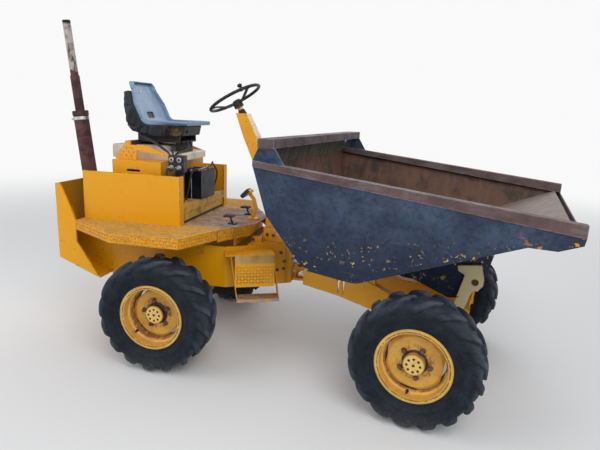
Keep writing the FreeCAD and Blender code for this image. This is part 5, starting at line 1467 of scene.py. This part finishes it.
class DUMPER_OT_battery_fittings(bpy.types.Operator):
    """Vent caps, strap, clamps and leads of the battery"""
    bl_idname = "dumper.battery_fittings"
    bl_label = "Battery fittings"

    def execute(self, context):
        cap = lathe("cap", [(0, -1), (12, -1), (12, 4), (10, 5.5), (0, 5.5)], 24)
        places = [Matrix.Translation(at(-880, -75 + 40 * i, 1234)) for i in range(6)]
        caps = scattered("battery_caps", cap, places)
        rim = block("rim", (-922, -96, 1233), (-756, -92, 1239), 1)
        rims = [rim, block("rim", (-922, 142, 1233), (-756, 146, 1239), 1),
                block("rim", (-760, -92, 1233), (-756, 142, 1239), 1)]
        settle(joined("battery_caps", [caps] + rims), REAR, "rear_half", "battery", "battery")
        strap = [block("bar", (-836, -118, 1234.3), (-814, 168, 1239), 1)]
        for y in (-111, 161):
            strap.append(tube("rod", [(-825, y, 1036), (-825, y, 1140), (-825, y, 1252)], 4))
            nut = hexagon("nut", 15, 9, 0)
            placed(nut, Matrix.Translation(at(-825, y, 1239)))
            strap.append(nut)
        settle(joined("battery_strap", strap), REAR, "rear_half", "steel", "zinc")
        clamps = []
        for y, way in ((-65, -1), (115, 1)):
            ring = lathe("clamp", [(9.3, 0), (15, 0), (15, 13), (9.3, 13)], 28)
            placed(ring, Matrix.Translation(at(-784, y, 1236)))
            jaw = y + way * 22
            clamps += [ring, block("jaw", (-790, jaw - 9, 1237), (-778, jaw + 9, 1248), 1.5)]
        settle(joined("battery_clamps", clamps), REAR, "rear_half", "steel", "zinc")
        leads = [tube("lead", points, 6.5) for points in BATTERY_LEADS]
        leads = joined("battery_leads", leads)
        settle(smooth(leads, 60), REAR, "rear_half", "black", "hose")
        return {"FINISHED"}


def union(name):
    """A bright hydraulic fitting about Z: adaptor, nut and crimped sleeve."""
    sleeve = lathe(name + "_sleeve", [(0, 14), (9, 14), (9, 22), (11, 24), (11, 44), (9, 46), (0, 46)], 24)
    return joined(name, [hexagon(name, 27, 9, 0), hexagon(name + "_nut", 22, 8, 9), sleeve])


class DUMPER_OT_hydraulics(bpy.types.Operator):
    """Fittings and hoses of the valve and the rams"""
    bl_idname = "dumper.hydraulics"
    bl_label = "Hydraulics"

    def execute(self, context):
        ring = lathe("port", [(13.5, 0), (17, 0), (17, 5), (15, 7), (9, 7), (9, 3), (13.5, 3)], 28)
        ports = [aimed((x, -312, z), (0, -1, 0)) for x in VALVE_X for z in (1278, 1332)]
        settle(scattered("valve_ports", ring, ports), REAR, "rear_half", "steel", "zinc")
        places = [aimed((x, -318, 1278), (0, -1, 0)) for x in VALVE_X]
        places += [aimed((-62, -90 + 40 * i, 640), (1, 0, 0)) for i in range(2)]
        fittings = scattered("rear_fittings", union("union"), places)
        settle(smooth(fittings, 30), REAR, "rear_half", "steel", "zinc")
        fittings = scattered("front_fittings", union("union"),
                             [aimed((85, y, 578), (-1, 0, 0)) for y in (-178, -148)])
        settle(smooth(fittings, 30), FRONT, "front_half", "steel", "zinc")
        hoses = [tube("hose", [(x, -362, 1278), (x, -392, 1272), (x + 4, -396, 1230), (x + 8, -384, 1150),
                               (x + 2, -362, 1070), (x - 6, -350, 1036)], 8) for x in VALVE_X]
        for dy, dz in ((0, 0), (-14, -5), (8, -14)):
            hoses.append(tube("cable", [(-1178, -178 + dy, 1486), (-1120, -205 + dy, 1462 + dz),
                                        (-1052, -228 + dy, 1446 + dz), (-986, -246 + dy, 1412 + dz),
                                        (-938, -262 + dy / 2, 1388 + dz / 2), (-908, -277, 1366),
                                        (-902, -277, 1352)], 5.5))
        for y in (-40, 24):
            hoses.append(tube("hose", [(-896, y, 1440), (-872, y - 20, 1416), (-858, y - 60, 1392),
                                       (-862, y - 120, 1378), (-868, -262, 1372), (-868, -277, 1352)], 6.5))
        hoses = joined("hoses", hoses)
        settle(smooth(hoses, 60), REAR, "rear_half", "black", "hose")
        collar = lathe("collar", [(27, -3), (32, -3), (32, 12), (29, 14), (15, 14), (15, 10), (27, 10)], 36)
        low, high = STEER_RAM
        turned = Matrix.Rotation(PARKED_TURN, 3, "Z") @ high
        along = Vector((turned.x - low.x, turned.y - low.y, 0)).normalized()
        seal = copied(collar, "steer_ram_collar")
        placed(seal, aimed(low + along * 345, along))
        settle(smooth(seal, 30), REAR, "steer_barrel", "steel", "zinc")
        base, eye = TIP_RAM
        along = (eye - base).normalized()
        collar.scale = (1.6, 1.6, 1.4)
        freeze(collar)
        collar.name = "tip_ram_collar"
        placed(collar, aimed(base + along * 540, along))
        settle(smooth(collar, 30), FRONT, "tip_barrel", "steel", "zinc")
        return {"FINISHED"}


# Fasteners, pins and welds

FLANK = Vector((0.511, -0.860, 0))
FRAME_BOLTS = [
    # place and outward direction
    ((-129, -158, 711), FLANK),
    ((-107, -144.3, 646), FLANK),
    ((-110, -146, 593), FLANK),
    ((-151, -170, 586), FLANK),
    ((-195, -138, 825), (0, -1, 0)),
    ((-240, -138, 828), (0, -1, 0)),
    ((-329, -180, 797), (0, -1, 0)),
]
GUARD_BOLTS = [((-1651, y, z), (-1, 0, 0)) for y in (-430, -150, 150, 430) for z in (700, 1090)]
SKIP_HINGE = (1205, 302, 754)
TIP_PIN = (TIP_RAM[0].x, 41, TIP_RAM[0].z)
SKIP_PIN = (TIP_RAM[1].x, 51, TIP_RAM[1].z)
FILLER = (-1330, 150, 1431)
EXHAUST_FOOT = Vector((-1528, -250, 1010))
EXHAUST_TOP = Vector((-1600, -250, 1608))
EXHAUST_RADIUS = 50
REAR_SEAMS = [
    ((-267, -138.5, 781), (-130, -138.5, 781)),
    ((-267, 138.5, 781), (-130, 138.5, 781)),
    ((-267.5, -136, 781), (-267.5, 136, 781)),
    ((-60, -59, 568), (-60, 59, 568)),
    ((-60, -59, 486), (-60, 59, 486)),
]
FRONT_SEAMS = [((x, -300, 521), (x, 300, 521)) for x in (1094, 1176)]


def pin_ends(name, head, place):
    """The same head at the right and left end of a cross pin."""
    x, y, z = place
    return scattered(name, head, [aimed((x, side * y, z), (0, side, 0)) for side in (-1, 1)])


def bolts(name, places, turn, flats, height):
    """Bolts at a list of places, each turned a little further than the last."""
    aims = [aimed(place, way, turn * i) for i, (place, way) in enumerate(places)]
    return smooth(scattered(name, bolt("bolt", flats, height), aims), 30)


def welds(name, seams):
    return smooth(joined(name, [weld("weld", *seam) for seam in seams]), 50)


def grip(centre, normal):
    """Picks every second face round the filler cap's side."""
    angle = math.atan2(centre.y - FILLER[1] * MM, centre.x - FILLER[0] * MM)
    return abs(normal.z) < 0.2 and int(28 * (angle / 2 / math.pi + 0.5)) % 2 == 0


class DUMPER_OT_fasteners(bpy.types.Operator):
    """Bolts, pin heads, caps, clamps and welds"""
    bl_idname = "dumper.fasteners"
    bl_label = "Fasteners and welds"

    def execute(self, context):
        right = bolts("frame_bolts_right", FRAME_BOLTS, 0.4, 17, 9)
        left = mirror_twin(right, "frame_bolts_left")
        for piece in (right, left, bolts("guard_bolts", GUARD_BOLTS, 0.5, 19, 10)):
            settle(piece, REAR, "rear_half", "rust", "rusty")
        washer = lathe("washer", [(0, 0), (19, 0), (19, 2), (16, 4), (0, 4)], 32)
        washer = joined("washer", [washer, hexagon("grease_nipple", 9, 6, 4)])
        settle(pin_ends("hinge_pin_ends", washer, SKIP_HINGE), FRONT, "front_half", "rust", "rusty")
        head = lathe("head", [(0, 0), (22, 0), (22, 5), (18, 8), (0, 8)], 28)
        settle(pin_ends("tip_ram_pin_ends", head, TIP_PIN), FRONT, "front_half", "rust", "rusty")
        head = lathe("head", [(0, 0), (21, 0), (21, 5), (17, 7), (0, 7)], 28)
        settle(pin_ends("skip_ram_pin_ends", head, SKIP_PIN), FRONT, "skip", "rust", "rusty")
        cap = lathe("fuel_cap", [(0, 0), (36, 0), (37, 3), (37, 18), (33, 22), (12, 24), (0, 24)], 28)
        placed(cap, Matrix.Translation(at(*FILLER)))
        choose(cap, "FACE", grip)
        bpy.ops.mesh.inset(thickness=0.8 * MM, depth=1.5 * MM)
        leave()
        settle(cap, REAR, "rear_half", "black", "black")
        up = (EXHAUST_TOP - EXHAUST_FOOT).normalized()
        inner, outer = EXHAUST_RADIUS, EXHAUST_RADIUS + 3
        clamps = []
        for share in (0.06, 0.93):
            place = aimed(EXHAUST_FOOT.lerp(EXHAUST_TOP, share), up)
            band = lathe("band", [(inner, 0), (outer, 0), (outer, 22), (inner, 22)], 48)
            lug = block("lug", (-14, -inner - 20, 3), (14, -inner + 1, 19), 2)
            clamps += [placed(band, place), placed(lug, place)]
        settle(joined("exhaust_clamps", clamps), REAR, "rear_half", "steel", "zinc")
        settle(welds("frame_welds", REAR_SEAMS), REAR, "rear_half", "yellow_paint", "yellow")
        settle(welds("front_welds", FRONT_SEAMS), FRONT, "front_half", "yellow_paint", "yellow_front")
        return {"FINISHED"}


# Stage

BACKDROP = 0.95
FLOOR_COLOUR = (0.80, 0.80, 0.80)
LAMP_SIZE = 4.0
LAMPS = [
    # name, place, share of the key light's power
    ("key", (2.5, -4.5, 5.0), 1.0),
    ("fill", (-4.5, -2.5, 3.5), 0.4),
    ("back", (0.5, 5.0, 4.5), 0.4),
]
LAMPS_AIM = Vector((0, 0, 0.8))


def camera_turn(st):
    """The camera's turn from its yaw, pitch and roll."""
    look = Matrix.Rotation(math.radians(st.yaw), 3, "Z") @ Vector((0, 1, 0))
    pitch = math.radians(st.pitch)
    ahead = Vector((look.x * math.cos(pitch), look.y * math.cos(pitch), -math.sin(pitch)))
    level = ahead.cross(Vector((0, 0, 1))).normalized()
    above = level.cross(ahead)
    roll = math.radians(st.roll)
    right = level * math.cos(roll) + above * math.sin(roll)
    up = above * math.cos(roll) - level * math.sin(roll)
    return Matrix((right, up, -ahead)).transposed().to_4x4()


class DUMPER_OT_stage(bpy.types.Operator):
    """Floor, light and camera"""
    bl_idname = "dumper.stage"
    bl_label = "Stage"

    def execute(self, context):
        st = context.scene.dumper_stage
        floor = start("floor", "plane", size=60, location=(0, 0, 0))
        f = Finish("floor")
        p = f.coords("Object")
        far = f.step(f.length(f.axis(p, "X"), f.axis(p, "Y")), 3.2, 11.0)
        plain = f.add("ShaderNodeEmission", {}, {"Color": (1, 1, 1, 1), "Strength": BACKDROP})
        near = Value(f, f.shader.outputs[0])
        seen = f.add("ShaderNodeMixShader", {}, {"Fac": far * f.seen_rays(), 1: near, 2: plain})
        f.done(Base_Color=FLOOR_COLOUR, Roughness=0.9)
        f.give(f.tree.nodes["Material Output"].inputs["Surface"], seen)
        floor.data.materials.append(f.material)
        world = bpy.data.worlds.new("studio")
        context.scene.world = world
        world.use_nodes = True
        w = Finish.of_tree(world.node_tree)
        light = w.add("ShaderNodeBackground", {}, {"Color": (0.93, 0.96, 1.0, 1.0), "Strength": st.world})
        white = w.add("ShaderNodeBackground", {}, {"Color": (1, 1, 1, 1), "Strength": BACKDROP})
        both = w.add("ShaderNodeMixShader", {}, {"Fac": w.seen_rays(), 1: light, 2: white})
        w.give(w.tree.nodes["World Output"].inputs["Surface"], both)
        for name, place, share in LAMPS:
            lamp = bpy.data.lights.new(name, "AREA")
            lamp.energy = st.key * share
            lamp.size = LAMP_SIZE
            shown = bpy.data.objects.new(name, lamp)
            shown.location = place
            shown.rotation_euler = (LAMPS_AIM - Vector(place)).to_track_quat("-Z", "Y").to_euler()
            context.scene.collection.objects.link(shown)
        camera = bpy.data.cameras.new("camera")
        camera.lens = st.lens
        camera.sensor_width = 36
        eye = bpy.data.objects.new("camera", camera)
        eye.matrix_world = Matrix.Translation(PIVOT + Vector(st.place)) @ camera_turn(st)
        context.scene.collection.objects.link(eye)
        context.scene.camera = eye
        context.scene.view_settings.view_transform = "Standard"
        return {"FINISHED"}


OPERATORS = (DUMPER_OT_paint, DUMPER_OT_tyres, DUMPER_OT_wheel_fittings, DUMPER_OT_tread_plate,
             DUMPER_OT_seat, DUMPER_OT_controls, DUMPER_OT_battery_fittings, DUMPER_OT_hydraulics,
             DUMPER_OT_fasteners, DUMPER_OT_stage)


class DUMPER_PT_panel(bpy.types.Panel):
    """Lists the steps and the settings"""
    bl_idname = "DUMPER_PT_panel"
    bl_label = "Site dumper"
    bl_space_type = "VIEW_3D"
    bl_region_type = "UI"
    bl_category = "Dumper"

    def draw(self, context):
        for operator in OPERATORS:
            self.layout.operator(operator.bl_idname)
        for group in (context.scene.dumper_colours, context.scene.dumper_sizes, context.scene.dumper_stage):
            for key in group.__annotations__:
                self.layout.prop(group, key)


CLASSES = (DumperColours, DumperSizes, DumperStage) + OPERATORS + (DUMPER_PT_panel,)


def register():
    for cls in CLASSES:
        bpy.utils.register_class(cls)
    bpy.types.Scene.dumper_colours = PointerProperty(type=DumperColours)
    bpy.types.Scene.dumper_sizes = PointerProperty(type=DumperSizes)
    bpy.types.Scene.dumper_stage = PointerProperty(type=DumperStage)


def unregister():
    del bpy.types.Scene.dumper_stage
    del bpy.types.Scene.dumper_sizes
    del bpy.types.Scene.dumper_colours
    for cls in reversed(CLASSES):
        bpy.utils.unregister_class(cls)


def main():
    register()
    for operator in OPERATORS:
        group, name = operator.bl_idname.split(".")
        getattr(getattr(bpy.ops, group), name)()


if __name__ == "__main__":
    main()
